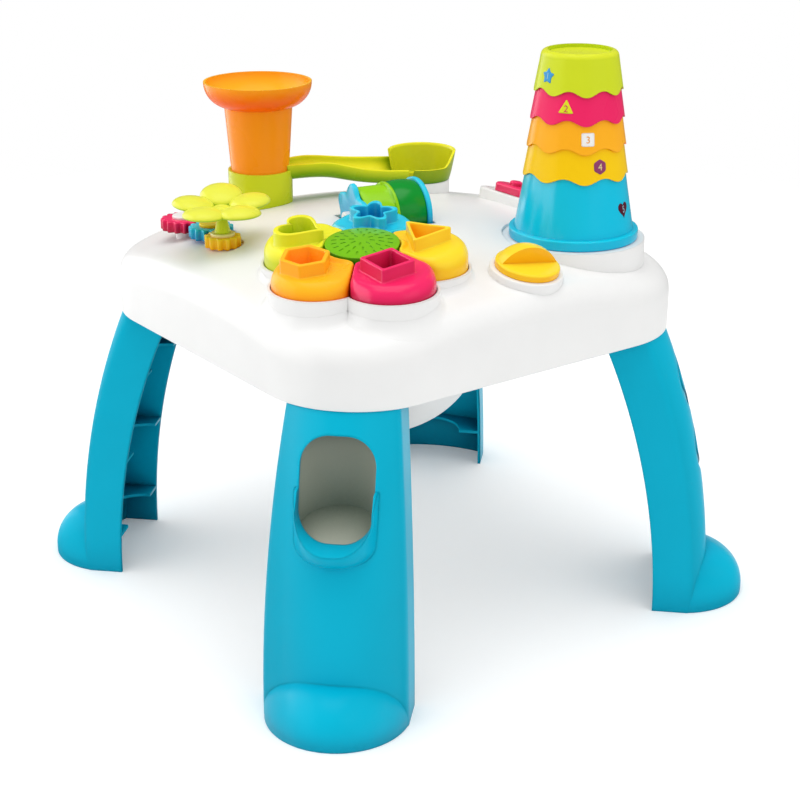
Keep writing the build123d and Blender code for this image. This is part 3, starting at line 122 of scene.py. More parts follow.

# Plastics: colour up in the open and colour deep in corners and on undersides, the deep one painted shade,
# sRGB from 0 to 255, roughness, specular
PLASTICS = {
    "white": ((242, 242, 241), (240, 239, 238), 0.33, 0.30),
    # The tub is white plastic: its grey-green colours are painted shade with a blue-green tint of bounced
    # light
    "tub": ((176, 178, 162), (84, 112, 98), 0.42, 0.20),
    # The legs' dark deep blue is painted shade inside the legs
    "leg": ((0, 184, 216), (0, 76, 110), 0.34, 0.09),
    "cup_blue": ((0, 204, 233), (0, 166, 212), 0.20, 0.40),
    "cup_yellow": ((250, 211, 10), (246, 180, 0), 0.28, 0.14),
    "cup_orange": ((255, 190, 36), (255, 142, 8), 0.28, 0.14),
    "cup_magenta": ((250, 44, 110), (216, 12, 72), 0.28, 0.14),
    "cup_lime": ((218, 226, 44), (176, 206, 6), 0.28, 0.14),
    "key_blue": ((40, 206, 234), (0, 112, 184), 0.20, 0.35),
    "orange": ((255, 188, 32), (255, 100, 0), 0.28, 0.16),
    "roller_lime": ((150, 212, 8), (70, 172, 0), 0.22, 0.35),
    "lime": ((240, 236, 48), (152, 188, 0), 0.28, 0.16),
    "petal_lime": ((230, 232, 72), (150, 190, 6), 0.28, 0.28),
    "track": ((242, 238, 40), (124, 172, 0), 0.28, 0.16),
    # The bowl's dark green deep colour is painted shade, darker down into its hole
    "bowl": ((242, 238, 40), (30, 120, 10), 0.28, 0.16),
    "magenta": ((245, 38, 102), (158, 0, 34), 0.22, 0.32),
    "yellow": ((252, 219, 46), (252, 168, 0), 0.25, 0.22),
    "lens": ((118, 192, 8), (30, 142, 10), 0.24, 0.30),
    "dark_green": ((0, 146, 44), (0, 104, 26), 0.24, 0.45),
    "cream": ((250, 238, 178), (240, 212, 120), 0.30, 0.35),
    "purple": ((150, 62, 112), (120, 40, 88), 0.30, 0.35),
    "maroon": ((92, 8, 40), (60, 0, 26), 0.30, 0.35),
    "badge_blue": ((0, 150, 214), (0, 110, 180), 0.30, 0.35),
    "pale_blue": ((170, 216, 226), (130, 180, 200), 0.30, 0.35),
    "black": ((34, 34, 36), (20, 20, 22), 0.50, 0.30),
    "board": ((20, 96, 50), (10, 60, 30), 0.45, 0.35),
    "cell": ((40, 42, 46), (24, 24, 26), 0.30, 0.45),
    "rubber": ((196, 196, 190), (150, 150, 146), 0.60, 0.25),
}

# Which CAD nodes are moulded in which plastic
MOULDED_IN = {
    "white": (
        "tabletop", "key_deck", "cup_spigot", "base_pan",
        "belly", "battery_door", "ball_chute", "pink_gear_cap",
    ),
    "tub": ("outlet_scoop",),
    "leg": ("front_leg", "right_leg", "back_leg", "left_leg"),
    "track": ("ball_track",),
    "bowl": ("end_bowl",),
    "lime": ("track_collar", "flower_stem", "heart_key"),
    "roller_lime": ("roller_drum",),
    "cup_lime": ("cup_1",),
    "petal_lime": ("flower_petals",),
    "orange": ("funnel", "hexagon_key"),
    "cup_orange": ("cup_3",),
    "cup_yellow": ("cup_4",),
    "cup_magenta": ("cup_2",),
    "yellow": ("yellow_gear", "blue_gear_cap", "selector_knob", "triangle_key"),
    "cream": ("yellow_gear_cap",),
    "key_blue": ("blue_gear", "star_key", "roller_left_disc", "roller_right_disc"),
    "magenta": ("pink_gear", "gear_peg", "slider", "square_key"),
    "lens": ("speaker_lens",),
    "cup_blue": ("cup_5",),
    "black": ("speaker",),
    "board": ("circuit_board",),
    "cell": ("batteries",),
    "rubber": ("triangle_dome", "star_dome", "heart_dome", "hexagon_dome", "square_dome"),
}

PLASTIC_OF = {node: name for name, nodes in MOULDED_IN.items() for node in nodes}

# Key deck, as modelled, in mm: its place, tilt and reach to the front
DECK_Y, DECK_Z, DECK_TILT, DECK_REACH = -141.0, 334.5, 2.5, 85.0
# Least and greatest fillet at its wall, its share of the wall's height, and how far it is let into the wall
FILLET, FILLET_SHARE, FILLET_TUCK = (2.0, 9.0), 0.45, 0.5
# Where the fillet reads the wall under its rim and the top out from the wall, and where its rays start
WALL_READ, TOP_READ, RAY_OUT, RAY_HIGH = 3.0, 1.5, 150.0, 400.0
# A drop in the top's height that is taken for a hole in it
HOLE_DROP = 25.0

# Keys: ring, petals, rolled edges in mm, and the direction of each in degrees
KEYS = {"triangle": 18.0, "star": 90.0, "heart": 162.0, "hexagon": 234.0, "square": 306.0}
KEY_STEP = 72.0
KEY_RING, KEY_RADIUS, KEY_GAP = 50.5, 36.0, 0.7
KEY_FOOT, KEY_TOP, KEY_PITCH = -1.5, 19.5, 5.5
KEY_ROLL, KEY_NARROW = (11.0, 12.0), 0.30
# Cosines from a key's outward direction over which its roll widens, and over which its inner edge rises
KEY_WIDENS, KEY_RISES = (-0.45, 0.45), (0.2, 0.8)
KEY_RAISE, KEY_SHAPE, KEY_SHAPE_WALL, KEY_WELL = 11.0, 21.0, 0.80, -5.0
KEY_SHAPE_SHIFT = {"hexagon": (-8.0, -3.0), "heart": (-6.0, -3.0), "square": (-2.0, -3.0)}
KEY_INNER_RISE = 3.5
# Raised shapes: sides, turn in degrees and share of the size; the star's wave and the heart's share
KEY_POLYGONS = {"triangle": (3, 18.0, 1.12), "square": (4, 0.0, 1.06), "hexagon": (6, 30.0, 1.0)}
STAR_WAVE, HEART_SHARE = 0.20, 1.05
LENS_RADIUS, LENS_RIM, LENS_CROWN = 30.3, 23.5, 3.0
GAUZE_TOP, GAUZE_UNDER, GAUZE_SHARE = 0.4, 1.4, 0.88

# Ball track and end bowl, in mm: the places as modelled, the soft forms read from the photograph
COLLAR, COLLAR_RADIUS = (-136.0, 80.0), 30.0
BOWL, BOWL_FOOT, BOWL_RADIUS = (6.0, 156.0), 27.0, 33.0
BOWL_LOW, BOWL_RIM, BOWL_LIP, BOWL_WALL, BOWL_HOLE = 340.3, 368.0, 354.2, 2.4, 21.0
BOWL_SLEEVE = 15.0
# Directions in degrees: the mouth to the track and the low front, with the angles over which they blend in
BOWL_MOUTH, BOWL_MOUTH_BLEND = (184.0, 266.0), 8.0
BOWL_FRONT, BOWL_FRONT_BLEND = (236.0, 360.0), (30.0, 34.0)
TRACK_START, TRACK_END, TRACK_WALL = 366.0, 355.0, 2.4
TRACK_HALF, TRACK_HALF_END, TRACK_DEPTH, TRACK_NEAR_DROP = 22.5, 23.4, 13.0, 3.0
TRACK_HALF_START, TRACK_SQUARE = 15.0, 0.72
TRACK_HUMP, TRACK_HUMP_AT, TRACK_HUMP_SPREAD, TRACK_HUMP_TILT = 5.0, 55.0, 28.0, 0.3
# Where the gutter starts inside the collar and ends in the bowl, and where it widens, narrows and drops
TRACK_TUCK, TRACK_INTO_BOWL = 3.0, 0.66
TRACK_WIDENS, TRACK_DROPS, TRACK_NARROWS, TRACK_ROUNDS = (100.0, 45.0), (60.0, 60.0), 26.0, 40.0

# Outlet tub, as modelled, in mm, and the top and arc in degrees of the wall added behind the opening
SCOOP_Y, SCOOP_RADIUS, SCOOP_WALL, SCOOP_LOW, SCOOP_HIGH = -259.0, 35.0, 2.0, 217.5, 238.0
SCOOP_ARC, SCOOP_ROUND = (154.0, 26.0), 0.6

# Roller, as modelled, in mm, with its axle's bearing in degrees
ROLLER, ROLLER_BEARING, ROLLER_RADIUS = (-4.0, -4.0, 345.0), 35.0, 31.0
ROLLER_SPAN, ROLLER_DISC, ROLLER_SPLIT, ROLLER_BORE = 56.0, 5.0, 2.0, 4.0
ROLLER_LOBES, ROLLER_LOBE_SHARE = 6, 0.12
ROLLER_PLAIN, ROLLER_LIME, ROLLER_GREEN, ROLLER_BULGE = 30.2, 26.2, 28.0, 1.4
ROLLER_RIBS, ROLLER_RIB_SHARE = 5, 0.03

# Flower on the yellow gear, in mm
PETAL_RING, PETAL_RADIUS, PETAL_CROWN, PETAL_BELLY, PETAL_FIRST = 25.5, 18.5, 7.5, 3.0, 33.0
PETAL_LIFTS = (9.0, 16.0, 7.0, 2.0, 3.0)
HUB_RADIUS, HUB_TALL = 9.0, 8.0

# Gears: module, tip and wave of the teeth in mm; teeth and phase in degrees of each, which mesh at rest
GEAR_MODULE, GEAR_TIP, GEAR_WAVE = 2.5, 1.1, 1.5
GEARS = {"yellow": (12, -12 * 122), "blue": (15, 15 * 58 + 180), "pink": (16, -16 * 323 - 135)}

# Cups, as modelled: their axis in m, their taper, and each one's foot height and radius in mm
CUP_AXIS = (162 * MM, -3 * MM)
CUP_TAPER = 0.175
CUP_FEET = {5: (333.0, 53.0), 4: (390.0, 44.825), 3: (415.0, 42.25), 2: (438.5, 39.9375), 1: (462.0, 37.625)}

# Numbered badges: shape, half size in mm, angle round the cup, height above its foot in mm, and the
# plastics and slots of the badge and its numeral
BADGES = {
    1: ("star", 7.2, -133.8, 13.0, "badge_blue", "pale_blue", "cyan", "cyan"),
    2: ("triangle", 7.6, -102.3, 12.0, "lime", "magenta", "lime", "magenta"),
    3: ("square", 7.8, -73.9, 10.5, "white", "orange", "white_shell", "orange"),
    4: ("hexagon", 6.4, -58.9, 12.5, "purple", "cream", "petal_pink", "cream"),
    5: ("heart", 7.2, -26.7, 30.4, "maroon", "pale_blue", "magenta", "cyan"),
}
BADGE_THICK = 0.35
NUMERAL_SIZE = 8.0
NUMERAL_THICK = 0.12


def linear(rgb):
    """sRGB from 0 to 255 as a linear colour with alpha."""
    values = [c / 255 for c in rgb]
    return tuple(v / 12.92 if v <= 0.04045 else ((v + 0.055) / 1.055) ** 2.4 for v in values) + (1.0,)


def add_node(tree, kind, inputs=None, **settings):
    """New shader node: its settings, then its inputs, each a plain value or the socket that feeds it."""
    node = tree.nodes.new(f"ShaderNode{kind}")
    for name, value in settings.items():
        setattr(node, name, value)
    for name, value in (inputs or {}).items():
        if isinstance(value, bpy.types.NodeSocket):
            tree.links.new(value, node.inputs[name])
        else:
            node.inputs[name].default_value = value
    return node


def combine(tree, operation, a, b):
    """Socket of two values put together by a Math node."""
    return add_node(tree, "Math", {0: a, 1: b}, operation=operation).outputs["Value"]


def along(tree, vector, axis):
    """Socket of a vector's length along an axis."""
    return add_node(tree, "VectorMath", {0: vector, 1: axis}, operation="DOT_PRODUCT").outputs["Value"]


def map_range(tree, value, span=(0.0, 1.0), to=(0.0, 1.0), smooth=False):
    """Socket of a value carried from one span to another, in a straight line or by a smooth step."""
    inputs = {"Value": value, "From Min": span[0], "From Max": span[1], "To Min": to[0], "To Max": to[1]}
    style = "SMOOTHSTEP" if smooth else "LINEAR"
    return add_node(tree, "MapRange", inputs, interpolation_type=style).outputs["Result"]


def moulded_group():
    """Node group of moulded plastic.

    Colour turns to its deep tone, a painted shade, in corners and hollows found by ambient occlusion and on
    undersides, with a faint mottling; gloss is uneven; the normal is rounded over sharp edges and carries a
    fine grain.
    """
    tree = bpy.data.node_groups.new("moulded_plastic", "ShaderNodeTree")
    numbers = ("Roughness", "Edge", "Reach", "Underside Shade")
    sockets = [("INPUT", name, "Color") for name in ("Color", "Painted Shade Color")]
    sockets += [("INPUT", name, "Float") for name in numbers]
    sockets += [("OUTPUT", "Color", "Color"), ("OUTPUT", "Roughness", "Float")]
    sockets += [("OUTPUT", "Normal", "Vector")]
    for side, name, kind in sockets:
        tree.interface.new_socket(name, in_out=side, socket_type=f"NodeSocket{kind}")
    given = tree.nodes.new("NodeGroupInput").outputs
    result = tree.nodes.new("NodeGroupOutput").inputs
    place = add_node(tree, "TexCoord").outputs
    textures = []
    for scale, detail in (MOTTLE, GRAIN):
        noise = add_node(tree, "TexNoise", {"Vector": place["Object"], "Scale": scale, "Detail": detail})
        textures.append(noise.outputs["Fac"])
    mottle, grain = textures
    # Painted shade: the colour goes to its deep tone where ambient occlusion finds corners and hollows, and
    # on undersides
    corner = add_node(tree, "AmbientOcclusion", {"Distance": given["Reach"]}, samples=6).outputs["AO"]
    in_open = map_range(tree, corner, CORNER_SHADE_EDGE, smooth=True)
    up = add_node(tree, "SeparateXYZ", {"Vector": place["Normal"]}).outputs["Z"]
    least = combine(tree, "SUBTRACT", 1.0, given["Underside Shade"])
    upward = map_range(tree, up, UNDERSIDE_SHADE_EDGE, (least, 1.0), smooth=True)
    share = combine(tree, "MULTIPLY", in_open, upward)
    tones = {"Factor": share, "A": given["Painted Shade Color"], "B": given["Color"]}
    tone = add_node(tree, "Mix", tones, data_type="RGBA").outputs["Result"]
    shade = map_range(tree, mottle, to=MOTTLE_SHADE)
    tint = add_node(tree, "VectorMath", {0: tone, "Scale": shade}, operation="SCALE").outputs["Vector"]
    gloss = combine(tree, "ADD", given["Roughness"], map_range(tree, mottle, to=MOTTLE_GLOSS))
    rounded = add_node(tree, "Bevel", {"Radius": given["Edge"]}, samples=4).outputs["Normal"]
    relief = {"Strength": GRAIN_STRENGTH, "Distance": GRAIN_DEPTH * MM, "Height": grain, "Normal": rounded}
    bump = add_node(tree, "Bump", relief).outputs["Normal"]
    for socket, name in ((tint, "Color"), (gloss, "Roughness"), (bump, "Normal")):
        tree.links.new(socket, result[name])
    return tree


MOULDED = moulded_group()
MADE = {}


def new_material(name):
    """New material with its node tree and its shader."""
    material = bpy.data.materials.new(name)
    material.use_nodes = True
    return material, material.node_tree, material.node_tree.nodes["Principled BSDF"]


def plastic(name):
    """Moulded plastic of one colour, made once."""
    if name in MADE:
        return MADE[name]
    colour, shaded_colour, roughness, specular = PLASTICS[name]
    material, tree, shader = new_material(f"moulded_{name}")
    shader.inputs["Specular IOR Level"].default_value = specular
    # The deep colour is painted shade, mixed in over corners, hollows and undersides
    look = {
        "Color": linear(colour),
        "Painted Shade Color": linear(shaded_colour),
        "Roughness": roughness,
        "Edge": SOFT_EDGES.get(name, EDGE) * MM,
        "Reach": SHADE_REACHES.get(name, SHADE_REACH) * MM,
        "Underside Shade": UNDERSIDE_SHADES.get(name, UNDERSIDE_SHADE),
    }
    group = add_node(tree, "Group", look, name="moulded", node_tree=MOULDED)
    for output, socket in (("Color", "Base Color"), ("Roughness", "Roughness"), ("Normal", "Normal")):
        tree.links.new(group.outputs[output], shader.inputs[socket])
    MADE[name] = material
    return material


def crowned(axis):
    """Leg plastic whose face bulges across one axis: height = -x^2 / (2 R)."""
    material = plastic("leg").copy()
    material.name = f"moulded_leg_{axis}"
    tree = material.node_tree
    place = add_node(tree, "TexCoord").outputs["Object"]
    across = add_node(tree, "SeparateXYZ", {"Vector": place}).outputs[axis]
    height = combine(tree, "MULTIPLY", combine(tree, "MULTIPLY", across, across), -0.5 / (LEG_CROWN * MM))
    relief = {"Distance": 1.0, "Height": height, "Normal": tree.nodes["moulded"].outputs["Normal"]}
    bump = add_node(tree, "Bump", relief).outputs["Normal"]
    tree.links.new(bump, tree.nodes["Principled BSDF"].inputs["Normal"])
    return material


def two_tone(name, low, high, axis, split):
    """Plastic low on one side of a plane square to an axis, and plastic high past split metres along it."""
    material = plastic(low).copy()
    material.name = name
    tree = material.node_tree
    place = add_node(tree, "TexCoord").outputs["Object"]
    past = combine(tree, "GREATER_THAN", along(tree, place, axis), split)
    # Each side gets its own colour and its own painted shade colour
    for which, socket in enumerate(("Color", "Painted Shade Color")):
        tones = {"Factor": past, "A": linear(PLASTICS[low][which]), "B": linear(PLASTICS[high][which])}
        tone = add_node(tree, "Mix", tones, data_type="RGBA").outputs["Result"]
        tree.links.new(tone, tree.nodes["moulded"].inputs[socket])
    return material


def steel():
    """Plated steel of screws, axles and springs, with fine marks in its gloss."""
    material, tree, shader = new_material("steel")
    shader.inputs["Base Color"].default_value = linear(STEEL_COLOUR)
    shader.inputs["Metallic"].default_value = 1.0
    place = add_node(tree, "TexCoord").outputs["Object"]
    marks = add_node(tree, "TexNoise", {"Vector": place, "Scale": STEEL_MARKS}).outputs["Fac"]
    tree.links.new(map_range(tree, marks, to=STEEL_ROUGHNESS), shader.inputs["Roughness"])
    return material


def dress_nodes():
    """Give every CAD node its plastic, the bulging one to the legs, and steel to the rest."""
    metal = steel()
    bulging = [crowned(axis) for axis in (0, 1)]
    for node, obj in NODES.items():
        material = plastic(PLASTIC_OF[node]) if node in PLASTIC_OF else metal
        obj.data.materials.clear()
        obj.data.materials.append(bulging[LEG_ACROSS[node]] if node in LEG_ACROSS else material)


def around(count):
    """Angles round a circle, with the last one short of the first."""
    return np.linspace(0, 2 * np.pi, count, endpoint=False)


def polygon(count, turn, share):
    """Points of a regular polygon, or of a star where share is under 1, at unit radius."""
    steps = np.arange(count * (1 if share == 1 else 2))
    radius = np.where(steps % 2 == 0, 1.0, share)
    angle = np.radians(turn) + 2 * np.pi * steps / len(steps)
    return np.stack([radius * np.cos(angle), radius * np.sin(angle)], 1)


def badge_outline(shape, samples=160, rounding=5):
    """Closed outline of a badge at unit size.

    The heart is x = sin^3 t, y = (13 cos t - 5 cos 2t - 2 cos 3t - cos 4t) / 16; the others are straight
    sided. Corners are rounded by a moving average round the outline.
    """
    if shape == "heart":
        t = around(samples)
        y = 13 * np.cos(t) - 5 * np.cos(2 * t) - 2 * np.cos(3 * t) - np.cos(4 * t)
        return np.stack([np.sin(t) ** 3, y / 16], 1)[::-1]
    corners = {
        "star": polygon(5, 90, 0.56),
        "triangle": polygon(3, 90, 1),
        "square": polygon(4, 45, 1),
        "hexagon": polygon(6, 90, 1),
    }[shape]
    ring = np.vstack([corners, corners[:1]])
    along = np.linspace(0, len(corners), samples, endpoint=False)
    line = np.stack([np.interp(along, np.arange(len(ring)), ring[:, i]) for i in (0, 1)], 1)
    shifts = range(-rounding, rounding + 1)
    return np.mean([np.roll(line, s, axis=0) for s in shifts], axis=0)


def on_cup(number, angle, rise, x, y, lift):
    """Points x across, y up and lift out of a cup's cone, about a place on it. All but angle in mm."""
    foot_z, foot_radius = CUP_FEET[number]
    z = foot_z + rise + y
    radius = foot_radius - CUP_TAPER * (z - foot_z)
    turn = np.radians(angle) + x / radius
    reach = (radius + lift) * MM
    return np.stack([CUP_AXIS[0] + reach * np.cos(turn), CUP_AXIS[1] + reach * np.sin(turn), z * MM], -1)


def mesh_piece(name, points, faces, material, body):
    """New closed piece from points and faces, turned to face outwards, riding on a body.

    The faces, cut in triangles from their first corner, enclose the sum of a . (b x c) / 6.
    """
    corners = [(f[0], f[k], f[k + 1]) for f in faces for k in range(1, len(f) - 1)]
    a, b, c = (points[list(index)] for index in zip(*corners))
    if np.einsum("ij,ij", a - a.mean(0), np.cross(b - a.mean(0), c - a.mean(0))) < 0:
        faces = [f[::-1] for f in faces]
    mesh = bpy.data.meshes.new(name)
    mesh.from_pydata(points.tolist(), [], [tuple(f) for f in faces])
    mesh.shade_smooth()
    mesh.set_sharp_from_angle(angle=SHARP_ANGLE)
    mesh.materials.append(material)
    obj = bpy.data.objects.new(name, mesh)
    bpy.context.scene.collection.objects.link(obj)
    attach(obj, body)
    return obj


def grid_faces(rows, columns):
    """Quads of a grid that closes on itself along its columns, and a cap at each end."""
    i, j = np.meshgrid(np.arange(rows - 1), np.arange(columns), indexing="ij")
    k = (j + 1) % columns
    quads = np.stack([i * columns + j, i * columns + k, (i + 1) * columns + k, (i + 1) * columns + j], -1)
    caps = [list(range(columns))[::-1], list(range((rows - 1) * columns, rows * columns))]
    return quads.reshape(-1, 4).tolist() + caps


def ring_faces(rows, columns):
    """Quads of a grid that closes on itself along its rows and its columns."""
    return [[v % (rows * columns) for v in f] for f in grid_faces(rows + 1, columns)[:-2]]


def several_grids(name, grids, material, node, body):
    """Piece from closed grids of points in mm, each rows by columns, that stands for a CAD node."""
    points, faces, start = [], [], 0
    for grid in grids:
        rows, columns = grid.shape[:2]
        points.append(grid.reshape(-1, 3) * MM)
        faces += [[v + start for v in f] for f in grid_faces(rows, columns)]
        start += rows * columns
    obj = mesh_piece(name, np.vstack(points), faces, material, body)
    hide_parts(node)
    return obj


def grid_piece(name, grid, material, node, body):
    """Like several_grids, from one."""
    return several_grids(name, [grid], material, node, body)


def on_deck(x, y, w):
    """Points x, y over the tilted key deck and w above it, in mm of the row frame."""
    t = math.radians(DECK_TILT)
    return np.stack(
        [x, DECK_Y + y * math.cos(t) - w * math.sin(t), DECK_Z + y * math.sin(t) + w * math.cos(t)], -1
    )


def smooth_ring(values, reach):
    """Moving average round a closed ring of values."""
    return np.mean([np.roll(values, s) for s in range(-reach, reach + 1)], axis=0)


def petal_reach(phi, angle):
    """Distance from a key's middle to its petal outline in each direction.

    It is the least of the petal's circle, the two lines to its neighbours and the circle round the lens.
    """
    out = phi - math.radians(angle)
    half_step = math.radians(KEY_STEP / 2)
    side = (KEY_RING - KEY_GAP / 2 / math.sin(half_step)) * math.sin(half_step)
    reach = np.full(phi.shape, KEY_RADIUS)
    for turn in (1, -1):
        toward = np.cos(out - turn * (math.pi / 2 + half_step))
        reach = np.where(toward > 0.05, np.minimum(reach, side / np.maximum(toward, 0.05)), reach)
    half = KEY_RING * np.cos(out)
    inside = half**2 - (KEY_RING**2 - (LENS_RADIUS + KEY_GAP) ** 2)
    lens = -half - np.sqrt(np.maximum(inside, 0))
    return smooth_ring(np.where((half < 0) & (inside > 0), np.minimum(reach, lens), reach), 7)


def shape_reach(phi, name):
    """Distance from a key's middle to its raised shape's outline: star, heart or regular polygon."""
    if name == "star":
        return KEY_SHAPE * (1 - STAR_WAVE + STAR_WAVE * np.cos(5 * (phi - math.radians(KEYS["star"]))))
    if name == "heart":
        x, y = (badge_outline("heart", 720) * KEY_SHAPE * HEART_SHARE).T
        bearing = (np.arctan2(y, x) + math.radians(KEYS["heart"] - 90)) % (2 * np.pi)
        order = np.argsort(bearing)
        return np.interp(phi % (2 * np.pi), bearing[order], np.hypot(x, y)[order], period=2 * np.pi)
    sides, turn, share = KEY_POLYGONS[name]
    step = 2 * np.pi / sides
    across = (phi - math.radians(turn)) % step - step / 2
    return smooth_ring(KEY_SHAPE * share * math.cos(step / 2) / np.cos(across), 3)


def ease(x):
    """Smooth step from 0 to 1: 3 x^2 - 2 x^3."""
    x = np.clip(x, 0, 1)
    return x * x * (3 - 2 * x)


def between(x, low, high):
    """Smooth step from 0 at low to 1 at high."""
    return ease((x - low) / (high - low))


def key_piece(name):
    """Press key as one surface of rows round its middle.

    The rows climb the petal's side, roll over by a quarter ellipse that is wide on the outer side and
    narrow by the lens, cross the pitched top to the raised shape, climb its wall, round its rim and go
    down its well.
    """
    angle = math.radians(KEYS[name])
    phi = around(288)
    outline, shape = petal_reach(phi, KEYS[name]), shape_reach(phi, name)
    outward = np.cos(phi - angle)
    wide = KEY_NARROW + (1 - KEY_NARROW) * between(outward, *KEY_WIDENS)
    across, down = KEY_ROLL[0] * wide, KEY_ROLL[1] * wide
    inner_rise = KEY_INNER_RISE * between(-outward, *KEY_RISES)
    slope = math.tan(math.radians(KEY_PITCH))
    middle = KEY_RING * np.array([math.cos(angle), math.sin(angle)])
    shift = np.array(KEY_SHAPE_SHIFT.get(name, (0.0, 0.0)))
    ray = np.stack([np.cos(phi), np.sin(phi)], -1)
    rows = []

    def row(flat, height, on_top=True):
        """One ring of deck points, at a height over the pitched top or over the deck."""
        x, y = flat.T
        rows.append(on_deck(x, y, KEY_TOP + y * slope + height if on_top else np.full(phi.shape, height)))

    def about_shape(reach):
        """Ring round the raised shape's middle."""
        return middle + shift + reach[:, None] * ray

    edge = middle + outline[:, None] * ray
    root = about_shape(shape + 1.6)
    width = np.linalg.norm(root - edge, axis=1)

    def rolled(inset):
        """Height of the rolled top at a distance in from the outline."""
        left = 1 - np.minimum(inset / across, 1)
        return -down * (1 - np.sqrt(1 - left * left)) + inner_rise * (1 - ease(inset / (1.2 * across + 4)))

    row(middle + 0.5 * outline[:, None] * ray, KEY_FOOT, False)
    row(edge, KEY_FOOT, False)
    for share in np.linspace(0, 1, 18) ** 1.8:
        row(edge + share * (root - edge), rolled(share * width))
    base = rolled(width)
    top, inner = KEY_RAISE, shape * KEY_SHAPE_WALL
    for out, height in ((0.5, base + 0.3), (0, base + 1.2), (0, top - 1), (-0.3, top - 0.3), (-1, top)):
        row(about_shape(shape + out), height)
    for out, height in ((1, top), (0.3, top - 0.3), (0, top - 1), (0, KEY_WELL + 1), (-1, KEY_WELL)):
        row(about_shape(inner + out), height)
    row(about_shape(inner * 0.4), KEY_WELL)
    node = f"{name}_key"
    return grid_piece(f"{name}_petal", np.array(rows), plastic(PLASTIC_OF[node]), node, f"{name}_key_body")


def lens_gauze():
    """Green gauze in the lens that closes its sound slots just under its crown, a thin pitched dome."""
    phi = around(96)
    slope = math.tan(math.radians(KEY_PITCH))
    profile = [(share, GAUZE_TOP) for share in (0.03, 0.3, 0.6, GAUZE_SHARE)]
    profile += [(share, GAUZE_UNDER) for share in (GAUZE_SHARE, 0.5, 0.03)]
    rows = []
    for share, drop in profile:
        reach = LENS_RADIUS * share
        x, y = reach * np.cos(phi), reach * np.sin(phi)
        rows.append(on_deck(x, y, LENS_RIM + LENS_CROWN * (1 - share * share) + y * slope - drop))
    points = np.array(rows).reshape(-1, 3) * MM
    faces = grid_faces(len(rows), len(phi))
    return mesh_piece("lens_gauze", points, faces, plastic("lens"), "desk")


def flower():
    """Five plump petals round a hub: each is half an ellipsoid over a flatter one, h = H (1 - s^2)^(1/2)."""
    low, high = (np.array(corner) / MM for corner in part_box("yellow_gear"))
    middle = (low + high) / 2
    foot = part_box("flower_petals")[0][2] / MM + PETAL_BELLY
    phi = around(72)
    shares = np.sin(np.linspace(0.03, np.pi / 2, 12))
    crown = np.sqrt(np.maximum(1 - shares**2, 0))
    spread = np.concatenate([shares, shares[-2::-1]])[:, None]
    height = np.concatenate([PETAL_CROWN * crown, -PETAL_BELLY * crown[-2::-1]])[:, None]
    grids = []
    for i, lift in enumerate(np.radians(PETAL_LIFTS)):
        turn = math.radians(360 / len(PETAL_LIFTS) * i + PETAL_FIRST)
        along = PETAL_RING + PETAL_RADIUS * spread * np.cos(phi)
        side = PETAL_RADIUS * spread * np.sin(phi)
        reach = along * math.cos(lift) - height * math.sin(lift)
        z = foot + along * math.sin(lift) + height * math.cos(lift)
        x = middle[0] + reach * math.cos(turn) - side * math.sin(turn)
        y = middle[1] + reach * math.sin(turn) + side * math.cos(turn)
        grids.append(np.stack([x, y, z], -1))
    bend = np.linspace(0.05, np.pi - 0.05, 14)[:, None]
    x = middle[0] + HUB_RADIUS * np.sin(bend) * np.cos(phi)
    y = middle[1] + HUB_RADIUS * np.sin(bend) * np.sin(phi)
    z = foot - PETAL_BELLY + HUB_TALL / 2 * (1 - np.cos(bend)) + 0 * phi
    grids.append(np.stack([x, y, z], -1))
    return several_grids("flower_head", grids, plastic("petal_lime"), "flower_petals", "yellow_gear_body")


def gear_piece(name):
    """Gear with soft round teeth, r = pitch + tip - wave (1 - cos(N t + phase)), and rounded edges."""
    teeth, phase = GEARS[name]
    node = f"{name}_gear"
    low, high = (np.array(corner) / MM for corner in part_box(node))
    middle = (low + high) / 2
    turn = around(teeth * 16)
    wave = GEAR_WAVE * (1 - np.cos(teeth * turn + math.radians(phase)))
    reach = teeth * GEAR_MODULE / 2 + GEAR_TIP - wave
    profile = [(1.0, low[2]), (0.3, low[2] + 0.3), (0, low[2] + 1)]
    profile += [(0, high[2] - 1.2), (0.35, high[2] - 0.35), (1.2, high[2]), (6, high[2])]
    rows = []
    for inset, z in profile:
        x = middle[0] + (reach - inset) * np.cos(turn)
        y = middle[1] + (reach - inset) * np.sin(turn)
        rows.append(np.stack([x, y, 0 * turn + z], -1))
    material = plastic(PLASTIC_OF[node])
    return grid_piece(f"{name}_soft_gear", np.array(rows), material, node, f"{name}_gear_body")


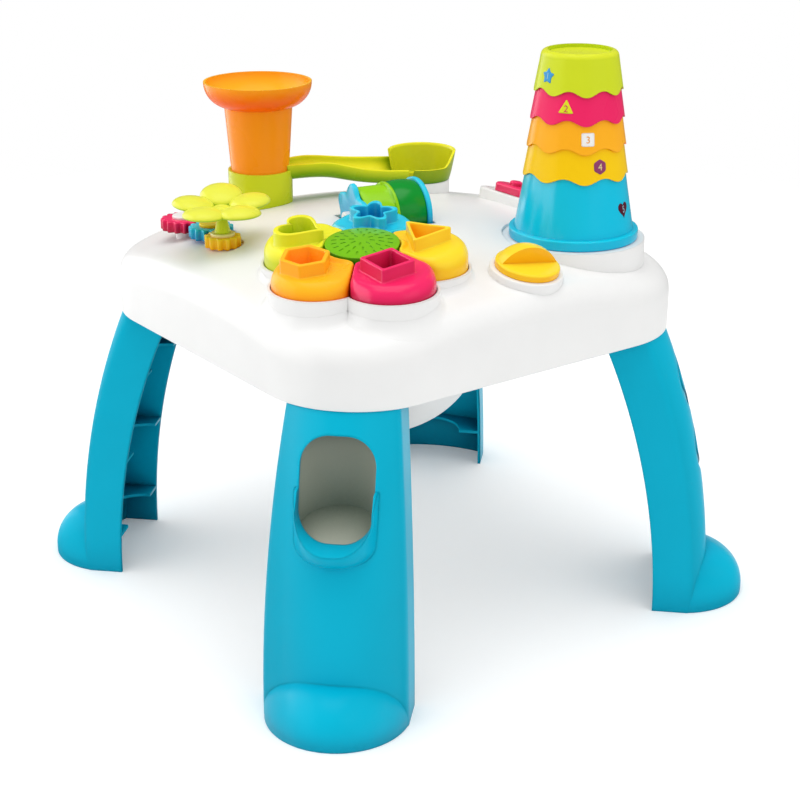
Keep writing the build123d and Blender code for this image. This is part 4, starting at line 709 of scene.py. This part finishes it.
def track():
    """Gutter from the collar to the bowl: half an ellipse (a cos t, -b sin t) carried along a humped line.

    The gutter widens to the bowl, its near rim lies lower than its far rim, and its start follows the
    collar's round.
    """
    start, end = np.array(COLLAR), np.array(BOWL)
    length = float(np.hypot(*(end - start)))
    along = (end - start) / length
    out = np.array([along[1], -along[0]])
    d = np.linspace(COLLAR_RADIUS - TRACK_TUCK, length - BOWL_RADIUS * TRACK_INTO_BOWL, 70)[:, None]
    bend = np.linspace(0, np.pi, 40)
    rim = np.linspace(0, np.pi, 7)[1:-1]
    half = TRACK_HALF + (TRACK_HALF_END - TRACK_HALF) * ease((d - TRACK_WIDENS[0]) / TRACK_WIDENS[1])
    half = half + (TRACK_HALF_START - TRACK_HALF) * (1 - ease((d - COLLAR_RADIUS) / TRACK_NARROWS))
    cosine = np.sign(np.cos(bend)) * np.abs(np.cos(bend)) ** TRACK_SQUARE
    sine = np.sin(bend) ** TRACK_SQUARE
    middle = half + TRACK_WALL / 2
    across = np.concatenate([
        (half + TRACK_WALL) * cosine,
        -middle - TRACK_WALL / 2 * np.cos(rim),
        -half * cosine,
        middle - TRACK_WALL / 2 * np.cos(rim),
    ], axis=1)
    height = np.concatenate([
        -(TRACK_DEPTH + TRACK_WALL) * sine,
        TRACK_WALL / 2 * np.sin(rim),
        -TRACK_DEPTH * sine,
        TRACK_WALL / 2 * np.sin(rim),
    ])
    near = across / middle
    back = COLLAR_RADIUS - np.sqrt(np.maximum(COLLAR_RADIUS**2 - across**2, 9.0))
    d = d - back * (1 - ease((d - COLLAR_RADIUS) / TRACK_ROUNDS))
    hump = TRACK_HUMP * np.exp(-(((d - TRACK_HUMP_AT) / TRACK_HUMP_SPREAD) ** 2))
    line = TRACK_START + (TRACK_END - TRACK_START) * d / length
    line = line + hump * (1 - TRACK_HUMP_TILT + TRACK_HUMP_TILT * near)
    line = line - TRACK_NEAR_DROP * ease((d - TRACK_DROPS[0]) / TRACK_DROPS[1]) * (1 + near) / 2
    x = start[0] + along[0] * d + out[0] * across
    y = start[1] + along[1] * d + out[1] * across
    grid = np.stack([x, y, line + height], -1)
    return grid_piece("track_gutter", grid, plastic("track"), "ball_track", "desk")


def bowl():
    """Spoon bowl at the track's end: rows round its axis, high at the back and low in front.

    The wall's radius grows as its rise to the power 0.8, and the rim drops away at the track.
    """
    phi = around(180)
    turn = np.degrees(phi)

    def within(ends, blends):
        """Share from 0 to 1 of a stretch of directions, blended in at both ends."""
        return ease((turn - ends[0]) / blends[0]) * ease((ends[1] - turn) / blends[1])

    in_mouth = within(BOWL_MOUTH, (BOWL_MOUTH_BLEND, BOWL_MOUTH_BLEND))
    in_front = within(BOWL_FRONT, BOWL_FRONT_BLEND)
    rim = BOWL_RIM - (BOWL_RIM - BOWL_LIP) * in_front
    rim = rim - (rim - BOWL_LOW - 1.0) * in_mouth

    def wall(share, inset):
        """One ring between the foot and the rim, set in from the outer wall."""
        z = BOWL_LOW + share * (rim - BOWL_LOW)
        rise = (z - BOWL_LOW) / (BOWL_RIM - BOWL_LOW)
        radius = BOWL_FOOT + (BOWL_RADIUS - BOWL_FOOT) * rise**0.8 - inset
        return np.stack([BOWL[0] + radius * np.cos(phi), BOWL[1] + radius * np.sin(phi), z], -1)

    def level(radius, z):
        """One level ring round the axis."""
        return np.stack([BOWL[0] + radius * np.cos(phi), BOWL[1] + radius * np.sin(phi), 0 * phi + z], -1)

    low, hole = BOWL_LOW, BOWL_HOLE - 0.4
    rows = [level(hole, low - BOWL_SLEEVE), level(hole, low)]
    rows += [wall(share, 0) for share in np.linspace(0, 0.985, 12)]
    rows += [wall(1.0, 0.5), wall(1.0, BOWL_WALL - 0.5)]
    rows += [wall(share, BOWL_WALL) for share in np.linspace(0.985, 0.03, 12)]
    rows += [level(hole - 0.4, low + 0.8), level(hole - 1.2, low), level(hole - 1.2, low - BOWL_SLEEVE)]
    points = np.array(rows).reshape(-1, 3) * MM
    faces = ring_faces(len(rows), len(phi))
    obj = mesh_piece("bowl_flare", points, faces, plastic("bowl"), "desk")
    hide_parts("end_bowl")
    return obj


def surface_of(node):
    """Search tree over a CAD node's faces, in metres of the row frame."""
    obj = NODES[node]
    points = [obj.matrix_world @ v.co for v in obj.data.vertices]
    return BVHTree.FromPolygons(points, [tuple(p.vertices) for p in obj.data.polygons])


def fill_gaps(heights):
    """Heights round a ring, with those of a hole in the top drawn across it."""
    good = np.flatnonzero(heights > np.median(heights) - HOLE_DROP)
    return np.interp(np.arange(len(heights)), good, heights[good], period=len(heights))


def deck_fillet():
    """White fillet between the key deck's wall and the top.

    It is found by casting on both: the section is a quarter circle, (f - f sin t, f - f cos t) out of the
    corner, with f a share of the wall's height.
    """
    wall, top = surface_of("key_deck"), surface_of("tabletop")
    phi = around(360)
    rays = [Vector((math.cos(a), math.sin(a), 0)) for a in phi]
    rim = DECK_Z + DECK_REACH * np.sin(phi) * math.tan(math.radians(DECK_TILT))

    def wall_at(levels):
        """Distance of the wall from the deck's middle, at a level for each ray."""
        found = []
        for ray, level in zip(rays, levels):
            centre = Vector((0, DECK_Y, level)) * MM
            found.append((wall.ray_cast(centre + ray * RAY_OUT * MM, -ray)[0] - centre).length / MM)
        return np.array(found)

    reach = wall_at(rim - WALL_READ)

    def height(out):
        """Height of the top at a distance out of the wall."""
        found = []
        for ray, distance in zip(rays, reach + np.maximum(out, 1.0)):
            over = (Vector((0, DECK_Y, RAY_HIGH)) + ray * distance) * MM
            hit = top.ray_cast(over, Vector((0, 0, -1)))[0]
            found.append(hit.z / MM if hit else 0.0)
        return fill_gaps(np.array(found))

    foot = height(TOP_READ)
    size = smooth_ring(np.clip(FILLET_SHARE * (rim - foot), *FILLET), 4)
    reach = wall_at(np.minimum(foot + size, rim - WALL_READ))
    rows = []

    def row(out, rise):
        """One ring at a distance out of the wall and a height over the top."""
        r = reach + out
        z = height(out) + rise
        rows.append(np.stack([r * np.cos(phi), DECK_Y + r * np.sin(phi), z], -1))

    for bend in np.linspace(0, np.pi / 2, 12):
        row(size * (1 - math.sin(bend)), size * (1 - math.cos(bend)) - (0.15 if bend == 0 else 0))
    row(0 * size - FILLET_TUCK, size)
    row(0 * size - FILLET_TUCK, 0 * size - 1.5)
    row(size, 0 * size - 1.0)
    points = np.array(rows).reshape(-1, 3) * MM
    faces = ring_faces(len(rows), len(phi))
    return mesh_piece("deck_fillet", points, faces, plastic("white"), "desk")


def scoop_back():
    """Wall that carries the outlet's tub up behind the opening: the back part of a ring."""
    turn = np.radians(np.linspace(*SCOOP_ARC, 41))
    across, behind = np.cos(turn), np.sin(turn)
    shoulder = SCOOP_HIGH - SCOOP_ROUND
    profile = [(0, SCOOP_LOW), (0, shoulder), (SCOOP_ROUND, SCOOP_HIGH)]
    profile += [(SCOOP_WALL - SCOOP_ROUND, SCOOP_HIGH), (SCOOP_WALL, shoulder), (SCOOP_WALL, SCOOP_LOW)]
    rows = []
    for inset, z in profile:
        radius = SCOOP_RADIUS - inset
        rows.append(np.stack([radius * across, SCOOP_Y + radius * behind, 0 * turn + z], -1))
    grid = np.array(rows).transpose(1, 0, 2)
    points = grid.reshape(-1, 3) * MM
    faces = grid_faces(*grid.shape[:2])
    return mesh_piece("scoop_back", points, faces, plastic("tub"), "desk")


def on_roller(reach, turn, axial):
    """Points round the roller's axle, in mm: e1 points up and e2 across, with the axle along its bearing."""
    bearing = math.radians(ROLLER_BEARING)
    across = reach * np.sin(turn)
    x = ROLLER[0] + axial * math.cos(bearing) + across * math.sin(bearing)
    y = ROLLER[1] + axial * math.sin(bearing) - across * math.cos(bearing)
    return np.stack([x, y, ROLLER[2] + reach * np.cos(turn)], -1)


def roller_left():
    """Lobed end disc of the roller, r = R (1 - a + a cos 6t), with rounded edges."""
    turn = around(180)
    wave = 1 - ROLLER_LOBE_SHARE + ROLLER_LOBE_SHARE * np.cos(ROLLER_LOBES * turn)
    near, far = -ROLLER_SPAN / 2 - ROLLER_DISC, -ROLLER_SPAN / 2
    level = [(5, near + 0.8), (12, near + 0.2)]
    lobed = [(0.9, near), (0.97, near + 0.3), (1.0, near + 1.2)]
    lobed += [(1.0, far - 1.2), (0.97, far - 0.3), (0.9, far)]
    rows = [on_roller(0 * turn + r, turn, 0 * turn + a) for r, a in level]
    rows += [on_roller(ROLLER_RADIUS * wave * share, turn, 0 * turn + a) for share, a in lobed]
    rows.append(on_roller(0 * turn + ROLLER_BORE, turn, 0 * turn + far))
    material = plastic(PLASTIC_OF["roller_left_disc"])
    return grid_piece("roller_flower_disc", np.array(rows), material, "roller_left_disc", "roller_body")


def roller_right():
    """Smooth end disc of the roller, a little wider than the green part beside it."""
    turn = around(120)
    near, far = ROLLER_SPAN / 2, ROLLER_SPAN / 2 + ROLLER_DISC
    outer = ROLLER_PLAIN
    profile = [(ROLLER_BORE, near), (outer - 1.0, near), (outer - 0.4, near + 0.4), (outer, near + 1.4)]
    profile += [(outer, far - 1.6), (outer - 0.6, far - 0.5), (outer - 1.8, far), (ROLLER_BORE, far)]
    rows = [on_roller(0 * turn + r, turn, 0 * turn + a) for r, a in profile]
    material = plastic(PLASTIC_OF["roller_right_disc"])
    return grid_piece("roller_plain_disc", np.array(rows), material, "roller_right_disc", "roller_body")


def roller_barrel():
    """Two-part drum: a ribbed lime part, and a bulged green part as wide as the disc beside it."""
    turn = around(160)
    half, split, lime, green = ROLLER_SPAN / 2 - 0.1, ROLLER_SPLIT, ROLLER_LIME, ROLLER_GREEN
    ribs = 1 + ROLLER_RIB_SHARE * np.cos(ROLLER_RIBS * turn)
    ribbed = [(lime - 1.2, -half), (lime - 0.4, -half + 1)]
    ribbed += [(lime, a) for a in np.linspace(-half + 3, split - 4, 8)]
    collar = [(lime + 0.4, split - 3.2), (green + 0.6, split - 2.6), (green + 1.0, split - 1.6)]
    collar += [(green + 0.8, split - 0.4), (green, split + 0.2)]
    share = np.linspace(0, 1, 14)
    bulge = zip(green + ROLLER_BULGE * np.sin(np.pi * share), np.linspace(split + 0.6, half, len(share)))
    rows = [on_roller(0 * turn + ROLLER_BORE, turn, 0 * turn - half)]
    rows += [on_roller(r * ribs, turn, 0 * turn + a) for r, a in ribbed]
    rows += [on_roller(0 * turn + r, turn, 0 * turn + a) for r, a in [*collar, *bulge, (ROLLER_BORE, half)]]
    bearing = math.radians(ROLLER_BEARING)
    axle = (math.cos(bearing), math.sin(bearing), 0)
    change = (ROLLER[0] * axle[0] + ROLLER[1] * axle[1] + split + 0.1) * MM
    material = two_tone("roller_drum", "roller_lime", "dark_green", axle, change)
    return grid_piece("roller_barrel", np.array(rows), material, "roller_drum", "roller_body")


def badge(number):
    """Raised badge on a cup: its outline shrunk to the middle, P(s, t) = s * outline(t)."""
    shape, half, angle, rise, colour, _, slot, _ = BADGES[number]
    outline = badge_outline(shape) * half
    shares = np.array([0.02, 0.35, 0.70, 0.90, 0.97, 1.0, 1.0])
    lifts = np.array([1.0, 1.0, 1.0, 1.0, 0.85, 0.5, -0.4]) * BADGE_THICK
    flat = shares[:, None, None] * outline[None]
    points = on_cup(number, angle, rise, flat[..., 0], flat[..., 1], lifts[:, None]).reshape(-1, 3)
    faces = grid_faces(len(shares), len(outline))
    return mesh_piece(f"badge_{number}", points, faces, plastic(colour), f"cup_{number}_body")


def numeral(number):
    """Plain numeral on a badge, a thin raised sheet bent round the cup."""
    _, _, angle, rise, _, colour, _, slot = BADGES[number]
    curve = bpy.data.curves.new(f"numeral_{number}", "FONT")
    curve.body = str(number)
    curve.size = NUMERAL_SIZE
    curve.extrude = NUMERAL_THICK
    curve.align_x, curve.align_y = "CENTER", "CENTER"
    text = bpy.data.objects.new("text", curve)
    bpy.context.scene.collection.objects.link(text)
    flat = bpy.data.meshes.new_from_object(text.evaluated_get(bpy.context.evaluated_depsgraph_get()))
    points = np.empty(len(flat.vertices) * 3)
    flat.vertices.foreach_get("co", points)
    points = points.reshape(-1, 3)
    faces = [tuple(p.vertices) for p in flat.polygons]
    bpy.data.objects.remove(text)
    middle = (points.min(0) + points.max(0)) / 2
    x, y, z = (points - middle).T
    placed = on_cup(number, angle, rise, x, y, BADGE_THICK + z)
    return mesh_piece(f"numeral_{number}", placed, faces, plastic(colour), f"cup_{number}_body")


def camera():
    """Camera at the photograph's view."""
    a, e = math.radians(CAM_AZIMUTH), math.radians(CAM_ELEVATION)
    back = Vector((math.sin(a) * math.cos(e), -math.cos(a) * math.cos(e), math.sin(e)))
    data = bpy.data.cameras.new("camera")
    data.lens, data.sensor_width = CAM_LENS, CAM_SENSOR
    obj = bpy.data.objects.new("camera", data)
    bpy.context.scene.collection.objects.link(obj)
    obj.location = Vector(CAM_TARGET) + back * CAM_DISTANCE
    obj.rotation_euler = (-back).to_track_quat("-Z", "Y").to_euler()
    bpy.context.scene.camera = obj


def area_light(name, place, aim, width, height, radiance):
    """Soft rectangular light at a place, aimed at a point, of a given brightness per area."""
    data = bpy.data.lights.new(name, "AREA")
    data.shape = "RECTANGLE"
    data.size, data.size_y = width, height
    data.energy = radiance * math.pi * width * height
    obj = bpy.data.objects.new(name, data)
    bpy.context.scene.collection.objects.link(obj)
    obj.location = place
    obj.rotation_euler = (Vector(aim) - Vector(place)).to_track_quat("-Z", "Y").to_euler()


def world():
    """White to the camera and through clear parts, a card in reflections, and a soft sky to the rest."""
    made = bpy.data.worlds.new("studio")
    bpy.context.scene.world = made
    made.use_nodes = True
    tree = made.node_tree
    shader = tree.nodes["Background"]
    path = add_node(tree, "LightPath").outputs
    direction = add_node(tree, "TexCoord").outputs["Generated"]
    card_side = along(tree, direction, Vector(CARD_DIRECTION).normalized())
    card = map_range(tree, card_side, CARD_EDGE, (SKY_IN_REFLECTIONS, CARD_IN_REFLECTIONS), smooth=True)
    height = add_node(tree, "SeparateXYZ", {"Vector": direction}).outputs["Z"]
    sky = map_range(tree, height, to=(SKY_LOW, SKY_HIGH))
    front_side = along(tree, direction, Vector(SKY_FRONT).normalized())
    front = map_range(tree, front_side, SKY_FRONT_EDGE, (1.0, SKY_FRONT_SHARE), smooth=True)
    soft_sky = combine(tree, "MULTIPLY", front, sky)
    light = map_range(tree, path["Is Glossy Ray"], to=(soft_sky, card))
    seen = combine(tree, "MAXIMUM", path["Is Camera Ray"], path["Is Transmission Ray"])
    tree.links.new(map_range(tree, seen, to=(light, 1.0)), shader.inputs["Strength"])
    shader.inputs["Color"].default_value = PURE_WHITE


def floor():
    """Pale round floor under the desk that fades out to the white background."""
    angles = around(FLOOR_SIDES)
    points = FLOOR_RADIUS * np.stack([np.cos(angles), np.sin(angles), 0 * angles], 1)
    mesh = bpy.data.meshes.new("floor")
    mesh.from_pydata(points.tolist(), [], [tuple(range(FLOOR_SIDES))])
    obj = bpy.data.objects.new("floor", mesh)
    bpy.context.scene.collection.objects.link(obj)
    material, tree, shader = new_material("floor")
    shader.inputs["Base Color"].default_value = FLOOR_COLOUR
    shader.inputs["Roughness"].default_value = 0.8
    shader.inputs["Specular IOR Level"].default_value = 0.1
    shader.inputs["Emission Color"].default_value = PURE_WHITE
    place = add_node(tree, "TexCoord").outputs["Object"]
    far = add_node(tree, "VectorMath", {0: place}, operation="LENGTH").outputs["Value"]
    edges = [FLOOR_RADIUS * share for share in FLOOR_FADE]
    tree.links.new(map_range(tree, far, edges, (1.0, 0.0), smooth=True), shader.inputs["Alpha"])
    camera_ray = add_node(tree, "LightPath").outputs["Is Camera Ray"]
    lift = combine(tree, "MULTIPLY", camera_ray, FLOOR_LIFT)
    tree.links.new(lift, shader.inputs["Emission Strength"])
    mesh.materials.append(material)


dress_nodes()
for key_name in KEYS:
    key_piece(key_name)
lens_gauze()
deck_fillet()
flower()
track()
bowl()
scoop_back()
roller_left()
roller_right()
roller_barrel()
for gear_name in GEARS:
    gear_piece(gear_name)
for cup_number in BADGES:
    badge(cup_number)
    numeral(cup_number)
camera()
world()
floor()
for panel_name, panel in PANELS.items():
    area_light(panel_name, *panel)

bpy.context.scene.view_settings.view_transform = "Standard"
